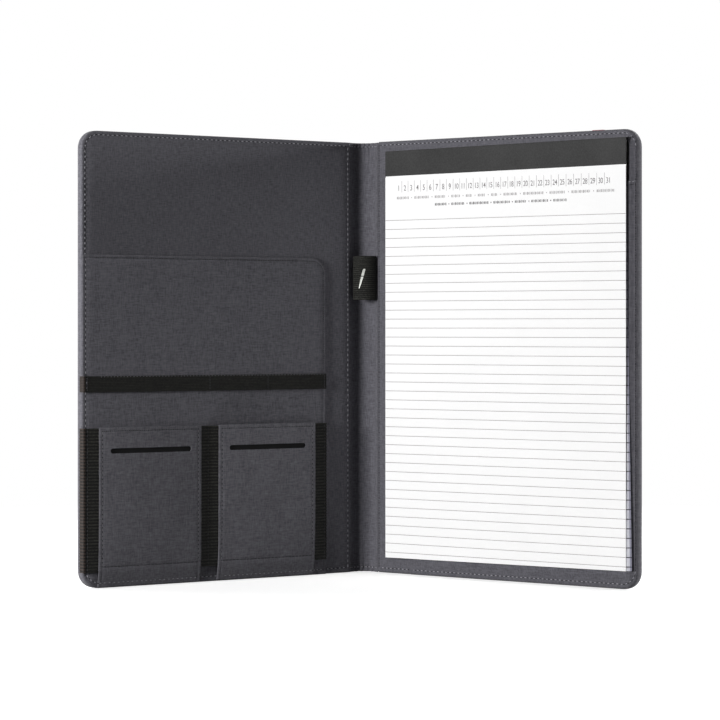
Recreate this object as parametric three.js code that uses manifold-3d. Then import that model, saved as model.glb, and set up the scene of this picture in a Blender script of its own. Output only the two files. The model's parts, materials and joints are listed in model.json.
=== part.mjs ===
// Padfolio: a writing pad in a soft cover with a document panel, an organiser band, two phone and
// card pockets on an elastic gusset, a pen loop and an elastic closure band.
// Millimetres, +Z up. It stands open on its bottom edges like a book: the spine is at the back,
// and both covers are folded forwards, towards the reader at -Y.
import * as THREE from 'three';
import Module from 'manifold-3d';
import { mergeVertices } from 'three/addons/utils/BufferGeometryUtils.js';

const { Manifold, Mesh: ManifoldMesh } = await loadManifold();

// Writing pad, an A4 sheet in size. Both covers are sized round it.
const padWidth = 210;
const padHeight = 297;
const padGutterMargin = 11.5;
const padOuterMargin = 4.9;
const padBottomMargin = 12.3;
const padHeadMargin = 6.7;
const cardThickness = 0.8;
const sheetStackThickness = 2;
const leafThickness = 0.2;
const headTapeThickness = 0.3;
const headTapeDepth = 18;

// Cover boards. u runs from the gutter edge to the outer edge, n from the lining face to the reader.
const coverHeight = padBottomMargin + padHeight + padHeadMargin;
const coverWidth = padGutterMargin + padWidth + padOuterMargin;
const coverCornerRadius = 12.5;
const clothThickness = 0.9;
const clothEdgeRadius = 0.7;
const boardThickness = 1.65;
const foamThickness = 1.65;
const layerGap = 0.3;
const foldFromFlat = 37.45;

// Soft spine between the two hinge lines
const gutterWidth = 20.74;
const gutterDepth = 9;
const hingeClearance = 0.35;
const spineFoamThickness = 0.6;

// Document panel on the front cover's lining
const panelGutterMargin = 22;
const panelHeight = 230.4;
const panelThickness = 1.2;
const panelStandOff = 0.6;
const panelCornerRadius = 12;

// Elastic tapes
const elasticThickness = 0.8;
const organiserWidth = 11;
const organiserLow = 135.3;
const organiserBulge = 0.5;
const organiserSeams = [24, 73.8, 123.4];
const gussetLow = 11;
const gussetWidth = 99.4;

// Phone and card pockets, two alike, side by side on the gusset
const pocketSpacing = 14.2;
const pocketGutterMargin = 12.5;
const pocketOuterMargin = 10.7;
const pocketTop = 111;
const pocketBottom = 0.9;
const innerPocketRise = 2.2;
const outerPocketRise = 1.3;
const pocketCrown = 1.2;
const pocketSettleHeight = 15;
const pocketSeamInset = 2.5;
const slitLength = 66;
const slitHeight = 3.6;
const slitCentreHeight = 94.6;

// Pen loop over the gutter
const penLoopLow = 200.8;
const penLoopHeight = 32;
const penLoopLeft = -7.75;
const penLoopRight = 10.05;
const penLoopFront = 6.2;
const penLoopBack = 2.6;
const penLoopSeamDepth = 0.55;

// Sleeve that holds the pad's card
const sleeveGutterMargin = 30;
const sleeveHeadDrop = 28.3;
const sleeveTopSlope = 8;
const sleeveSeamWidth = 4;
const sleeveHemWidth = 3;
const sleeveCornerRadius = 14;

// Elastic closure band round the back cover
const closureWidth = 10.6;
const closureOuterMargin = 29.8;
const closureReturn = 3;
const tabThickness = 0.5;
const tabDrop = 7;

// Levels across one cover: n is 0 on the lining face and negative behind it
const liningBack = -clothThickness;
const foamFront = liningBack - layerGap;
const foamBack = foamFront - foamThickness;
const boardFront = foamBack - layerGap;
const boardBack = boardFront - boardThickness;
const shellFront = boardBack - layerGap;
const shellBack = shellFront - clothThickness;
const panelFace = panelStandOff + panelThickness;

// Levels of the pad, from the back cover's lining forwards
const tapeBack = layerGap;
const cardBack = tapeBack + headTapeThickness + layerGap;
const cardFront = cardBack + cardThickness;
const sleeveBack = cardFront + layerGap;
const sleeveFace = sleeveBack + clothThickness;
const sheetsBack = sleeveFace + layerGap;
const sheetsFront = sheetsBack + sheetStackThickness;
const leafBack = sheetsFront + layerGap;
const padTop = padBottomMargin + padHeight;
const sleeveOuterHeight = padTop - sleeveHeadDrop;
const headTapeLow = padTop - headTapeDepth;

const frontSide = -1;
const backSide = 1;
const hingeX = gutterWidth / 2;
const arcSteps = 6;

async function loadManifold() {
  const wasm = await Module();
  wasm.setup();
  return wasm;
}

const finishes = {
  shellCloth: { color: 0x4a484e, roughness: 0.92, metalness: 0 },
  liningCloth: { color: 0x48464b, roughness: 0.93, metalness: 0 },
  elastic: { color: 0x20211e, roughness: 0.85, metalness: 0 },
  redTape: { color: 0x6e2f38, roughness: 0.85, metalness: 0 },
  board: { color: 0x8b7f6c, roughness: 0.95, metalness: 0 },
  foam: { color: 0x2c2c2e, roughness: 0.98, metalness: 0 },
  greyCard: { color: 0x9a958b, roughness: 0.95, metalness: 0 },
  paper: { color: 0xf7f7f5, roughness: 0.9, metalness: 0 },
  headTape: { color: 0x3f3f40, roughness: 0.8, metalness: 0 },
  glue: { color: 0xd9d4c6, roughness: 0.7, metalness: 0 },
};

function named(name, geometry, finish) {
  const mesh = new THREE.Mesh(geometry, new THREE.MeshStandardMaterial(finishes[finish]));
  mesh.name = name;
  return mesh;
}

// Closed solid from a geometry, for cutting
function solidFrom(geometry) {
  const bare = geometry.index ? geometry.toNonIndexed() : geometry.clone();
  bare.deleteAttribute('normal');
  bare.deleteAttribute('uv');
  const merged = mergeVertices(bare, 1e-4);
  return new Manifold(new ManifoldMesh({
    numProp: 3,
    vertProperties: new Float32Array(merged.attributes.position.array),
    triVerts: new Uint32Array(merged.index.array),
  }));
}

function geometryFrom(solid) {
  const { vertProperties, triVerts } = solid.getMesh();
  const geometry = new THREE.BufferGeometry();
  geometry.setAttribute('position', new THREE.BufferAttribute(new Float32Array(vertProperties), 3));
  geometry.setIndex(new THREE.BufferAttribute(new Uint32Array(triVerts), 1));
  geometry.computeVertexNormals();
  return geometry;
}

function cut(geometry, ...cutters) {
  const cutSolid = cutters.reduce(
    (solid, cutter) => solid.subtract(solidFrom(cutter)),
    solidFrom(geometry),
  );
  return geometryFrom(cutSolid);
}

// Four-sided outline in u and z, each corner with its own radius
function outline({ gutter, outer, bottom, top, radii = {} }) {
  const { bottomGutter = 0, bottomOuter = 0, topOuter = 0, topGutter = 0 } = radii;
  const shape = new THREE.Shape();
  shape.moveTo(gutter + bottomGutter, bottom);
  shape.lineTo(outer - bottomOuter, bottom);
  addCorner(shape, outer - bottomOuter, bottom + bottomOuter, bottomOuter, -90);
  shape.lineTo(outer, top - topOuter);
  addCorner(shape, outer - topOuter, top - topOuter, topOuter, 0);
  shape.lineTo(gutter + topGutter, top);
  addCorner(shape, gutter + topGutter, top - topGutter, topGutter, 90);
  shape.lineTo(gutter, bottom + bottomGutter);
  addCorner(shape, gutter + bottomGutter, bottom + bottomGutter, bottomGutter, 180);
  return shape;
}

function addCorner(shape, centreU, centreZ, radius, startDegrees) {
  if (radius > 0) {
    const start = THREE.MathUtils.degToRad(startDegrees);
    shape.absarc(centreU, centreZ, radius, start, start + Math.PI / 2, false);
  }
}

// The shape's points on one side of the spine, without doubles
function sidePoints(shape, side) {
  const points = shape.getPoints(arcSteps).map((p) => new THREE.Vector2(side * p.x, p.y));
  return points.filter((p, i) => p.distanceTo(points[(i + 1) % points.length]) > 1e-4);
}

// A plate between two levels n, from an outline in u and z
function plate(shape, side, back, front, bevel = 0) {
  const geometry = new THREE.ExtrudeGeometry(new THREE.Shape(sidePoints(shape, side)), {
    depth: front - back - 2 * bevel,
    bevelEnabled: bevel > 0,
    bevelThickness: bevel,
    bevelSize: bevel,
    bevelOffset: -bevel,
    bevelSegments: 2,
  });
  geometry.translate(0, 0, back + bevel);
  geometry.rotateX(Math.PI / 2);
  return geometry;
}

// Cloth turned over the edge of what it covers: a floor, four walls and an open mouth
function tray(edges, side, floorLevel, mouthLevel) {
  const inward = Math.sign(mouthLevel - floorLevel);
  const inner = {
    gutter: edges.gutter + clothThickness,
    outer: edges.outer - clothThickness,
    bottom: edges.bottom + clothThickness,
    top: edges.top - clothThickness,
    radii: Object.fromEntries(
      Object.entries(edges.radii).map(([corner, radius]) => [corner, radius - clothThickness]),
    ),
  };
  const spare = 2;
  const beyond = mouthLevel + inward * spare;
  const blank = plate(
    outline(edges), side, Math.min(floorLevel, beyond), Math.max(floorLevel, beyond), clothEdgeRadius,
  );
  const hollowFloor = floorLevel + inward * clothThickness;
  const past = beyond + inward * spare;
  const hollow = plate(outline(inner), side, Math.min(hollowFloor, past), Math.max(hollowFloor, past));
  const openEnd = plate(
    outline({ gutter: edges.gutter - spare, outer: edges.outer + spare,
      bottom: edges.bottom - spare, top: edges.top + spare }),
    side, Math.min(mouthLevel, past), Math.max(mouthLevel, past),
  );
  return cut(blank, openEnd, hollow);
}

// A tape's cross-section: its inner face follows the path, and its outer face lies to the left
function tapeSection(path, thickness) {
  const normals = path.slice(1).map((p, i) => {
    const along = new THREE.Vector2().subVectors(p, path[i]).normalize();
    return new THREE.Vector2(-along.y, along.x);
  });
  const outer = path.map((p, i) => {
    const before = normals[Math.max(i - 1, 0)];
    const after = normals[Math.min(i, normals.length - 1)];
    const reach = thickness / (1 + before.dot(after));
    return p.clone().addScaledVector(before, reach).addScaledVector(after, reach);
  });
  return [...path, ...outer.reverse()];
}

// A section in n and z run along u
function runAlongU(section, side, fromU, toU) {
  const shape = new THREE.Shape(section.map((p) => new THREE.Vector2(-p.x, p.y)));
  const geometry = new THREE.ExtrudeGeometry(shape, { depth: toU - fromU, bevelEnabled: false });
  geometry.translate(0, 0, side > 0 ? fromU : -toU);
  const turn = new THREE.Matrix4().makeBasis(
    new THREE.Vector3(0, 1, 0), new THREE.Vector3(0, 0, 1), new THREE.Vector3(1, 0, 0),
  );
  return geometry.applyMatrix4(turn);
}

// A closed skin through level sections that have the same number of points
function skin(sections, side) {
  const count = sections[0].points.length;
  const positions = sections.flatMap(({ z, points }) => points.flatMap((p) => [side * p.x, -p.y, z]));
  const flat = sections[0].points.map((p) => new THREE.Vector2(side * p.x, -p.y));
  const anticlockwise = !THREE.ShapeUtils.isClockWise(flat);
  const caps = THREE.ShapeUtils.triangulateShape(flat, []);
  const faces = [];
  const addFace = (a, b, c) => faces.push(...(anticlockwise ? [a, b, c] : [a, c, b]));
  for (let level = 0; level + 1 < sections.length; level += 1) {
    for (let i = 0; i < count; i += 1) {
      const next = (i + 1) % count;
      const low = level * count;
      const high = low + count;
      addFace(low + i, low + next, high + next);
      addFace(low + i, high + next, high + i);
    }
  }
  const last = (sections.length - 1) * count;
  caps.forEach(([a, b, c]) => {
    const upward = THREE.ShapeUtils.area([flat[a], flat[b], flat[c]]) > 0;
    const [p, q, r] = upward ? [a, b, c] : [a, c, b];
    faces.push(p, r, q, last + p, last + q, last + r);
  });
  const geometry = new THREE.BufferGeometry();
  geometry.setAttribute('position', new THREE.Float32BufferAttribute(positions, 3));
  geometry.setIndex(faces);
  geometry.computeVertexNormals();
  return geometry;
}

// One cover's shell, board, foam and lining. All share the cover's outline.
function coverLayers(prefix, side, shellCutters = []) {
  const radii = { bottomOuter: coverCornerRadius, topOuter: coverCornerRadius };
  const edges = { gutter: hingeClearance, outer: coverOuter, bottom: 0, top: coverHeight, radii };
  const inset = clothThickness + layerGap;
  const filling = outline({
    gutter: edges.gutter + inset,
    outer: edges.outer - inset,
    bottom: inset,
    top: coverHeight - inset,
    radii: { bottomOuter: coverCornerRadius - inset, topOuter: coverCornerRadius - inset },
  });
  const shell = tray(edges, side, shellBack, boardFront);
  return [
    named(`${prefix}_shell`, shellCutters.length ? cut(shell, ...shellCutters) : shell, 'shellCloth'),
    named(`${prefix}_board`, plate(filling, side, boardBack, boardFront), 'board'),
    named(`${prefix}_foam`, plate(filling, side, foamBack, foamFront), 'foam'),
    named(`${prefix}_lining`, tray(edges, side, 0, foamBack), 'liningCloth'),
  ];
}

const coverOuter = hingeClearance + coverWidth;
const panelGutter = hingeClearance + panelGutterMargin;
const tapeSeat = elasticThickness + layerGap;
const pocketRoom = coverOuter - panelGutter - pocketGutterMargin - pocketSpacing - pocketOuterMargin;
const pocketWidth = pocketRoom / 2;

// Stiff panel sewn to the lining along the cover's outer and bottom edges. The tapes that wrap
// its two side edges lie in shallow seats, so that their faces end level with the edges.
function documentPanel() {
  const shape = outline({
    gutter: panelGutter, outer: coverOuter, bottom: 0, top: panelHeight,
    radii: { topGutter: panelCornerRadius, bottomOuter: coverCornerRadius },
  });
  const seats = [[organiserLow, organiserWidth], [gussetLow, gussetWidth]].flatMap(([low, width]) =>
    [[panelGutter - tapeSeat, panelGutter + tapeSeat], [coverOuter - tapeSeat, coverOuter + tapeSeat]]
      .map(([gutter, outer]) => plate(
        outline({ gutter, outer, bottom: low - layerGap, top: low + width + layerGap }),
        frontSide, 0, panelFace + 1,
      )));
  return named('document_panel', cut(plate(shape, frontSide, panelStandOff, panelFace), ...seats),
    'liningCloth');
}

const tapeOnPanel = panelFace + layerGap;
const tapeGutterEnd = panelGutter + elasticThickness;
const tapeOuterEnd = coverOuter - elasticThickness;
const outerSeam = tapeOuterEnd - 1.7;

// Narrow elastic across the panel, sewn down at intervals so that it forms three loops
function organiserBand() {
  const seams = [...organiserSeams.map((u) => u + hingeClearance), outerSeam];
  const loopSteps = 6;
  const path = [[tapeGutterEnd, panelStandOff], [tapeGutterEnd, tapeOnPanel]];
  seams.slice(1).forEach((end, i) => {
    const start = seams[i];
    for (let step = 0; step < loopSteps; step += 1) {
      const part = step / loopSteps;
      const bulge = organiserBulge * Math.sin(part * Math.PI) ** 2;
      path.push([start + part * (end - start), tapeOnPanel + bulge]);
    }
  });
  path.push([outerSeam, tapeOnPanel], [tapeOuterEnd, tapeOnPanel], [tapeOuterEnd, panelStandOff]);
  const points = tapeSection(path.map(([u, n]) => new THREE.Vector2(u, n)), elasticThickness);
  const levels = [organiserLow, organiserLow + organiserWidth];
  return named('organiser_band', skin(levels.map((z) => ({ z, points })), frontSide), 'elastic');
}

// Both pockets, from the gutter side outwards
const innerPocket = { start: panelGutter + pocketGutterMargin, rise: innerPocketRise };
const outerPocket = {
  start: innerPocket.start + pocketWidth + pocketSpacing, rise: outerPocketRise,
};

// How far the pocket stands off the panel at height z, as a share of its rise at the mouth
function pocketLift(z) {
  return 1 - Math.exp(-z / pocketSettleHeight);
}

// Rise across one pocket, with the fullest place at its middle
function pocketRise(pocket, share) {
  return pocket.rise + pocketCrown * (1 - (2 * share - 1) ** 2);
}

const pocketSteps = 8;

// Wide elastic behind both pocket fronts, sewn to the panel at its ends and between the pockets
function gussetBand() {
  const rises = [[tapeGutterEnd, 0], [panelGutter + pocketSeamInset, 0]];
  [innerPocket, outerPocket].forEach((pocket) => {
    for (let step = 0; step <= pocketSteps; step += 1) {
      const share = step / pocketSteps;
      rises.push([pocket.start + share * pocketWidth, pocketRise(pocket, share)]);
    }
    if (pocket === innerPocket) {
      rises.push([pocket.start + pocketWidth + pocketSpacing / 2, 0]);
    }
  });
  rises.push([outerSeam, 0], [tapeOuterEnd, 0]);
  const levels = 10;
  const sections = Array.from({ length: levels + 1 }, (_, level) => {
    const z = gussetLow + gussetWidth * (level / levels) ** 1.6;
    const lift = pocketLift(z);
    const path = [
      [tapeGutterEnd, panelStandOff],
      ...rises.map(([u, rise]) => [u, tapeOnPanel + lift * rise]),
      [tapeOuterEnd, panelStandOff],
    ];
    return { z, points: tapeSection(path.map(([u, n]) => new THREE.Vector2(u, n)), elasticThickness) };
  });
  return named('pocket_gusset', skin(sections, frontSide), 'elastic');
}

// Cloth front of one pocket, with the card slit. Below the gusset it runs down to the bottom seam.
function pocketFront(name, pocket) {
  const levels = 14;
  const sections = Array.from({ length: levels + 1 }, (_, level) => {
    const z = pocketBottom + (pocketTop - pocketBottom) * (level / levels) ** 1.6;
    const overGusset = Math.min(z / gussetLow, 1) * tapeSeat;
    const path = Array.from({ length: pocketSteps + 1 }, (_unused, step) => {
      const share = step / pocketSteps;
      const back = tapeOnPanel + pocketLift(z) * pocketRise(pocket, share) + overGusset;
      return new THREE.Vector2(pocket.start + share * pocketWidth, back);
    });
    return { z, points: tapeSection(path, clothThickness) };
  });
  const middle = pocket.start + pocketWidth / 2;
  const slit = outline({
    gutter: middle - slitLength / 2,
    outer: middle + slitLength / 2,
    bottom: slitCentreHeight - slitHeight / 2,
    top: slitCentreHeight + slitHeight / 2,
    radii: Object.fromEntries(['bottomGutter', 'bottomOuter', 'topOuter', 'topGutter']
      .map((corner) => [corner, slitHeight / 2 - 0.2])),
  });
  const deepest = tapeOnPanel + tapeSeat + pocketRise(pocket, 0.5) + 2 * clothThickness;
  return named(name, cut(skin(sections, frontSide), plate(slit, frontSide, panelFace, deepest)),
    'liningCloth');
}

const closureOuterEdge = coverOuter - closureOuterMargin;
const closureInnerEdge = closureOuterEdge - closureWidth;
const closureBack = shellBack - layerGap;

// Seats in the back shell's top and bottom edges, through which the closure band is sewn in
function closureSeats() {
  const seatDepth = elasticThickness + layerGap;
  return [[-1, seatDepth], [coverHeight - seatDepth, coverHeight + 1]].map(([bottom, top]) => plate(
    outline({ gutter: closureInnerEdge - layerGap, outer: closureOuterEdge + layerGap, bottom, top }),
    backSide, shellBack - 1, boardFront + layerGap / 2,
  ));
}

// Elastic closure band: down the back cover's outer face, its ends turned in under both edges
function closureBand() {
  const footLevel = elasticThickness + 0.1;
  const path = [
    [-closureReturn - layerGap, coverHeight - footLevel],
    [closureBack, coverHeight - footLevel],
    [closureBack, footLevel],
    [-closureReturn - layerGap, footLevel],
  ].map(([n, z]) => new THREE.Vector2(n, z));
  const section = tapeSection(path.reverse(), elasticThickness);
  return named('closure_band', runAlongU(section, backSide, closureInnerEdge, closureOuterEdge),
    'elastic');
}

// Short red tape folded over the closure band's upper end
function closureTab() {
  const top = coverHeight + 0.15;
  const behind = closureBack - elasticThickness - layerGap;
  const path = [
    [behind, coverHeight - tabDrop],
    [behind, top],
    [-closureReturn - layerGap, top],
  ].map(([n, z]) => new THREE.Vector2(n, z));
  const section = tapeSection(path, tabThickness);
  return named('closure_tab', runAlongU(section, backSide, closureInnerEdge, closureOuterEdge),
    'redTape');
}

// Soft spine: one layer between two radii, its ends cut off square at the hinge lines
const spineInnerRadius = (hingeX ** 2 + gutterDepth ** 2) / (2 * gutterDepth);
const spineCentreY = gutterDepth - spineInnerRadius;

function spineLayer(name, innerRadius, thickness, finish) {
  const arcPoints = (radius) => {
    const halfAngle = Math.asin(hingeX / radius);
    const steps = 16;
    return Array.from({ length: steps + 1 }, (_, i) => {
      const angle = halfAngle * (2 * (i / steps) - 1);
      return new THREE.Vector2(radius * Math.sin(angle), spineCentreY + radius * Math.cos(angle));
    });
  };
  const shape = new THREE.Shape([
    ...arcPoints(innerRadius),
    ...arcPoints(innerRadius + thickness).reverse(),
  ]);
  const geometry = new THREE.ExtrudeGeometry(shape, { depth: coverHeight, bevelEnabled: false });
  return named(name, geometry, finish);
}

// Elastic loop for a pen, sewn in at the back cover's side of the gutter
function penLoop() {
  const seamY = -0.3;
  const ring = (inset) => {
    const left = penLoopLeft + inset;
    const right = penLoopRight - inset * 3;
    const front = seamY - penLoopFront + inset;
    const back = seamY + penLoopBack - inset;
    const seamHalf = Math.max(penLoopSeamDepth - inset, 0.05);
    const sweep = (right - left) * 0.3;
    const shape = new THREE.Shape();
    shape.moveTo(right, seamY - seamHalf);
    shape.bezierCurveTo(right - sweep, front, left + sweep, front, left, seamY - 0.6);
    shape.bezierCurveTo(left + 0.2, back, right - sweep, back, right, seamY + seamHalf);
    return new THREE.Shape(sidePoints(shape, 1));
  };
  const tube = (inset, spare) => {
    const depth = penLoopHeight + 2 * spare;
    const geometry = new THREE.ExtrudeGeometry(ring(inset), { depth, bevelEnabled: false });
    return geometry.translate(0, 0, penLoopLow - spare);
  };
  const geometry = cut(tube(0, 0), tube(elasticThickness, 1));
  return named('pen_loop', geometry, 'elastic');
}

const padGutter = hingeClearance + padGutterMargin;
const padOuter = padGutter + padWidth;

function padPlate(name, bottom, top, back, thickness, finish) {
  const shape = outline({ gutter: padGutter, outer: padOuter, bottom, top });
  return named(name, plate(shape, backSide, back, back + thickness), finish);
}

// Dark tape folded over the head of the pad, from the first sheet to the back of the card
function headTape() {
  const cap = padTop + layerGap;
  const path = [
    [cardBack - layerGap, headTapeLow],
    [cardBack - layerGap, cap],
    [sheetsFront + layerGap, cap],
    [sheetsFront + layerGap, headTapeLow],
  ].map(([n, z]) => new THREE.Vector2(n, z));
  return named('head_tape', runAlongU(tapeSection(path, headTapeThickness), backSide, padGutter, padOuter),
    'headTape');
}

// Cloth sleeve over the pad's card. A hem lies flat along the cover's outer and bottom edges, the
// top edge climbs towards the outer edge, and the free edge is hidden behind the pad.
function padSleeve() {
  const gutter = hingeClearance + sleeveGutterMargin;
  const slope = Math.tan(THREE.MathUtils.degToRad(sleeveTopSlope));
  const slopedTop = (outer, bottom, radius) => {
    const top = (u) => sleeveOuterHeight - slope * (coverOuter - u);
    const shape = new THREE.Shape();
    shape.moveTo(gutter, bottom);
    shape.lineTo(outer - radius, bottom);
    shape.absarc(outer - radius, bottom + radius, radius, -Math.PI / 2, 0, false);
    shape.lineTo(outer, top(outer));
    shape.lineTo(gutter + sleeveCornerRadius, top(gutter + sleeveCornerRadius));
    shape.quadraticCurveTo(gutter, top(gutter), gutter, top(gutter) - sleeveCornerRadius);
    return shape;
  };
  const hem = plate(slopedTop(coverOuter, 0, coverCornerRadius), backSide, layerGap,
    layerGap + clothThickness);
  const raised = plate(
    slopedTop(coverOuter - sleeveHemWidth, sleeveHemWidth, coverCornerRadius - sleeveHemWidth),
    backSide, layerGap, sleeveFace,
  );
  const hollow = plate(outline({
    gutter: gutter - 1, outer: coverOuter - sleeveSeamWidth, bottom: sleeveSeamWidth,
    top: sleeveOuterHeight + 1, radii: { bottomOuter: coverCornerRadius - sleeveSeamWidth },
  }), backSide, 0, sleeveBack);
  const sleeve = solidFrom(hem).add(solidFrom(raised)).subtract(solidFrom(hollow));
  return named('pad_sleeve', geometryFrom(sleeve), 'liningCloth');
}

function frontCover() {
  const group = new THREE.Group();
  group.add(...coverLayers('front', frontSide));
  group.add(documentPanel(), organiserBand(), gussetBand());
  group.add(pocketFront('phone_pocket_inner', innerPocket));
  group.add(pocketFront('phone_pocket_outer', outerPocket));
  group.position.x = -hingeX;
  group.rotation.z = THREE.MathUtils.degToRad(foldFromFlat);
  return group;
}

function writingPad() {
  const group = new THREE.Group();
  const leafTop = headTapeLow - layerGap;
  const strip = { low: sleeveOuterHeight + 2 * layerGap, thickness: clothThickness };
  group.add(
    padPlate('pad_card', padBottomMargin, padTop, cardBack, cardThickness, 'greyCard'),
    padPlate('pad_glue_strip', strip.low, padTop, sleeveBack, strip.thickness, 'glue'),
    padPlate('ruled_sheets', padBottomMargin, padTop, sheetsBack, sheetStackThickness, 'paper'),
    padPlate('top_leaf', padBottomMargin, leafTop, leafBack, leafThickness, 'paper'),
    headTape(),
  );
  return group;
}

function backCover() {
  const group = new THREE.Group();
  group.add(...coverLayers('back', backSide, closureSeats()));
  group.add(padSleeve(), closureBand(), closureTab(), writingPad());
  group.position.x = hingeX;
  group.rotation.z = -THREE.MathUtils.degToRad(foldFromFlat);
  return group;
}

function spine() {
  const group = new THREE.Group();
  const foamRadius = spineInnerRadius + clothThickness + layerGap;
  const shellRadius = foamRadius + spineFoamThickness + layerGap;
  group.add(
    spineLayer('spine_lining', spineInnerRadius, clothThickness, 'liningCloth'),
    spineLayer('spine_foam', foamRadius, spineFoamThickness, 'foam'),
    spineLayer('spine_shell', shellRadius, clothThickness, 'shellCloth'),
    penLoop(),
  );
  return group;
}

const padfolio = new THREE.Group();
const assembly = new THREE.Group();
assembly.add(spine(), frontCover(), backCover());
padfolio.add(assembly);
padfolio.updateMatrixWorld(true);
const middle = new THREE.Box3().setFromObject(padfolio, true).getCenter(new THREE.Vector3());
assembly.position.set(-middle.x, -middle.y, 0);
padfolio.updateMatrixWorld(true);

export default padfolio;
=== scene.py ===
"""Looks of an A4 padfolio of linen-look cloth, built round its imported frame.

Each cover is modelled lying square to the axes, in its own millimetres: u runs from the gutter to
the outer edge, n from the lining towards the reader, and z up. It is then folded into place.
"""

from __future__ import annotations

import json
import logging
import math
import random
from dataclasses import dataclass, field
from enum import Enum
from typing import Callable, Iterable, Sequence

import bpy
import numpy as np
from mathutils import Matrix, Vector

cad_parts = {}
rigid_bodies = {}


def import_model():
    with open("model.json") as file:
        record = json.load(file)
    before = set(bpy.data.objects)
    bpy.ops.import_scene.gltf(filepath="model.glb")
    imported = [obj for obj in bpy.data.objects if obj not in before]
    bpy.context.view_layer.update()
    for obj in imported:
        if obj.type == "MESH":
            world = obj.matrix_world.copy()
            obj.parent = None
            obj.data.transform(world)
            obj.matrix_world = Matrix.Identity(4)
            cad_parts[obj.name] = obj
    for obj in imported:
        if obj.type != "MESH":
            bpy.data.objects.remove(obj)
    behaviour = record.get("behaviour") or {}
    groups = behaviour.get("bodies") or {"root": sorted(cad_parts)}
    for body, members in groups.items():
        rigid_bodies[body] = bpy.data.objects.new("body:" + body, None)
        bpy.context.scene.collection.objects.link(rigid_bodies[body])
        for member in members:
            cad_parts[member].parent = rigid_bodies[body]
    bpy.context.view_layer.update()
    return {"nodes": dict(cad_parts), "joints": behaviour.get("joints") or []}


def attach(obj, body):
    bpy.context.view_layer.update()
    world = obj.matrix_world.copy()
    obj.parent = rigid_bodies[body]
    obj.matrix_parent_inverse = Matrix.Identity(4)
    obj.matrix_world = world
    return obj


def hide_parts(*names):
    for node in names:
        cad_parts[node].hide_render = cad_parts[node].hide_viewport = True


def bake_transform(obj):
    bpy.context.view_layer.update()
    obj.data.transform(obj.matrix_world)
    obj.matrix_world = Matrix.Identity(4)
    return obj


log = logging.getLogger("padfolio")

MM = 0.001
NEAR = 0.01
X, Y = 0, 1
RIB_PITCH = 1.5
GUSSET_PITCH = 2.2
KNIT_PITCH = 1.1
FOLD_DEGREES = 37.45
FORWARD = Vector((0.0, -1.0, 0.0))

Point = tuple[float, float, float]
Spot = tuple[float, float]
Profile = list[Spot]
Path = list[Vector]
Piece = bpy.types.Object
Finish = bpy.types.Material
Node = bpy.types.Node
Socket = bpy.types.NodeSocket


class Side(Enum):
    """Which cover a piece belongs to, seen from the reader."""

    FRONT = -1
    BACK = 1


class Row(Enum):
    """How the thread of a seam looks against its cloth. All rows are one polyester thread; the light and
    mid-grey mixed rows are painted lighter, as a highlight where it catches the light.
    """

    DARK = "dark"
    MIXED = "mixed"
    LIGHT = "light"


def linear(hex_colour: str) -> tuple[float, float, float, float]:
    """Turn an sRGB hex colour into linear light.

    Args:
        hex_colour: Six hex digits with a leading hash.

    Returns:
        Red, green, blue and an alpha of 1.
    """
    parts = [int(hex_colour[i : i + 2], 16) / 255 for i in (1, 3, 5)]
    levels = [p / 12.92 if p <= 0.04045 else ((p + 0.055) / 1.055) ** 2.4 for p in parts]
    return (*levels, 1.0)


@dataclass(frozen=True)
class Place:
    """Where pieces stand in the frame; the spine's place is mid-way between the hinge lines."""

    hinge: Vector

    @property
    def name(self) -> str:
        """The place's name, which its finishes end with."""
        return "spine"

    @property
    def turn(self) -> float:
        """How far the place is turned about the vertical."""
        return 0.0

    @property
    def matrix(self) -> Matrix:
        """The move from the place's own millimetres to the frame's metres."""
        turn = Matrix.Rotation(self.turn, 4, "Z")
        return Matrix.Translation(self.hinge) @ turn @ Matrix.Scale(MM, 4)


@dataclass(frozen=True)
class FoldedCover(Place):
    """Where a cover stands: its hinge line and how far it is folded forwards."""

    side: Side
    fold: float

    @property
    def name(self) -> str:
        """The cover's side as a word."""
        return self.side.name.lower()

    @property
    def turn(self) -> float:
        """The fold as a turn about the vertical."""
        return -self.side.value * self.fold

    def at(self, u: float, n: float, z: float) -> Vector:
        """A point of the cover in its own axes, before it is folded."""
        return Vector((self.side.value * u, -n, z))


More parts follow.
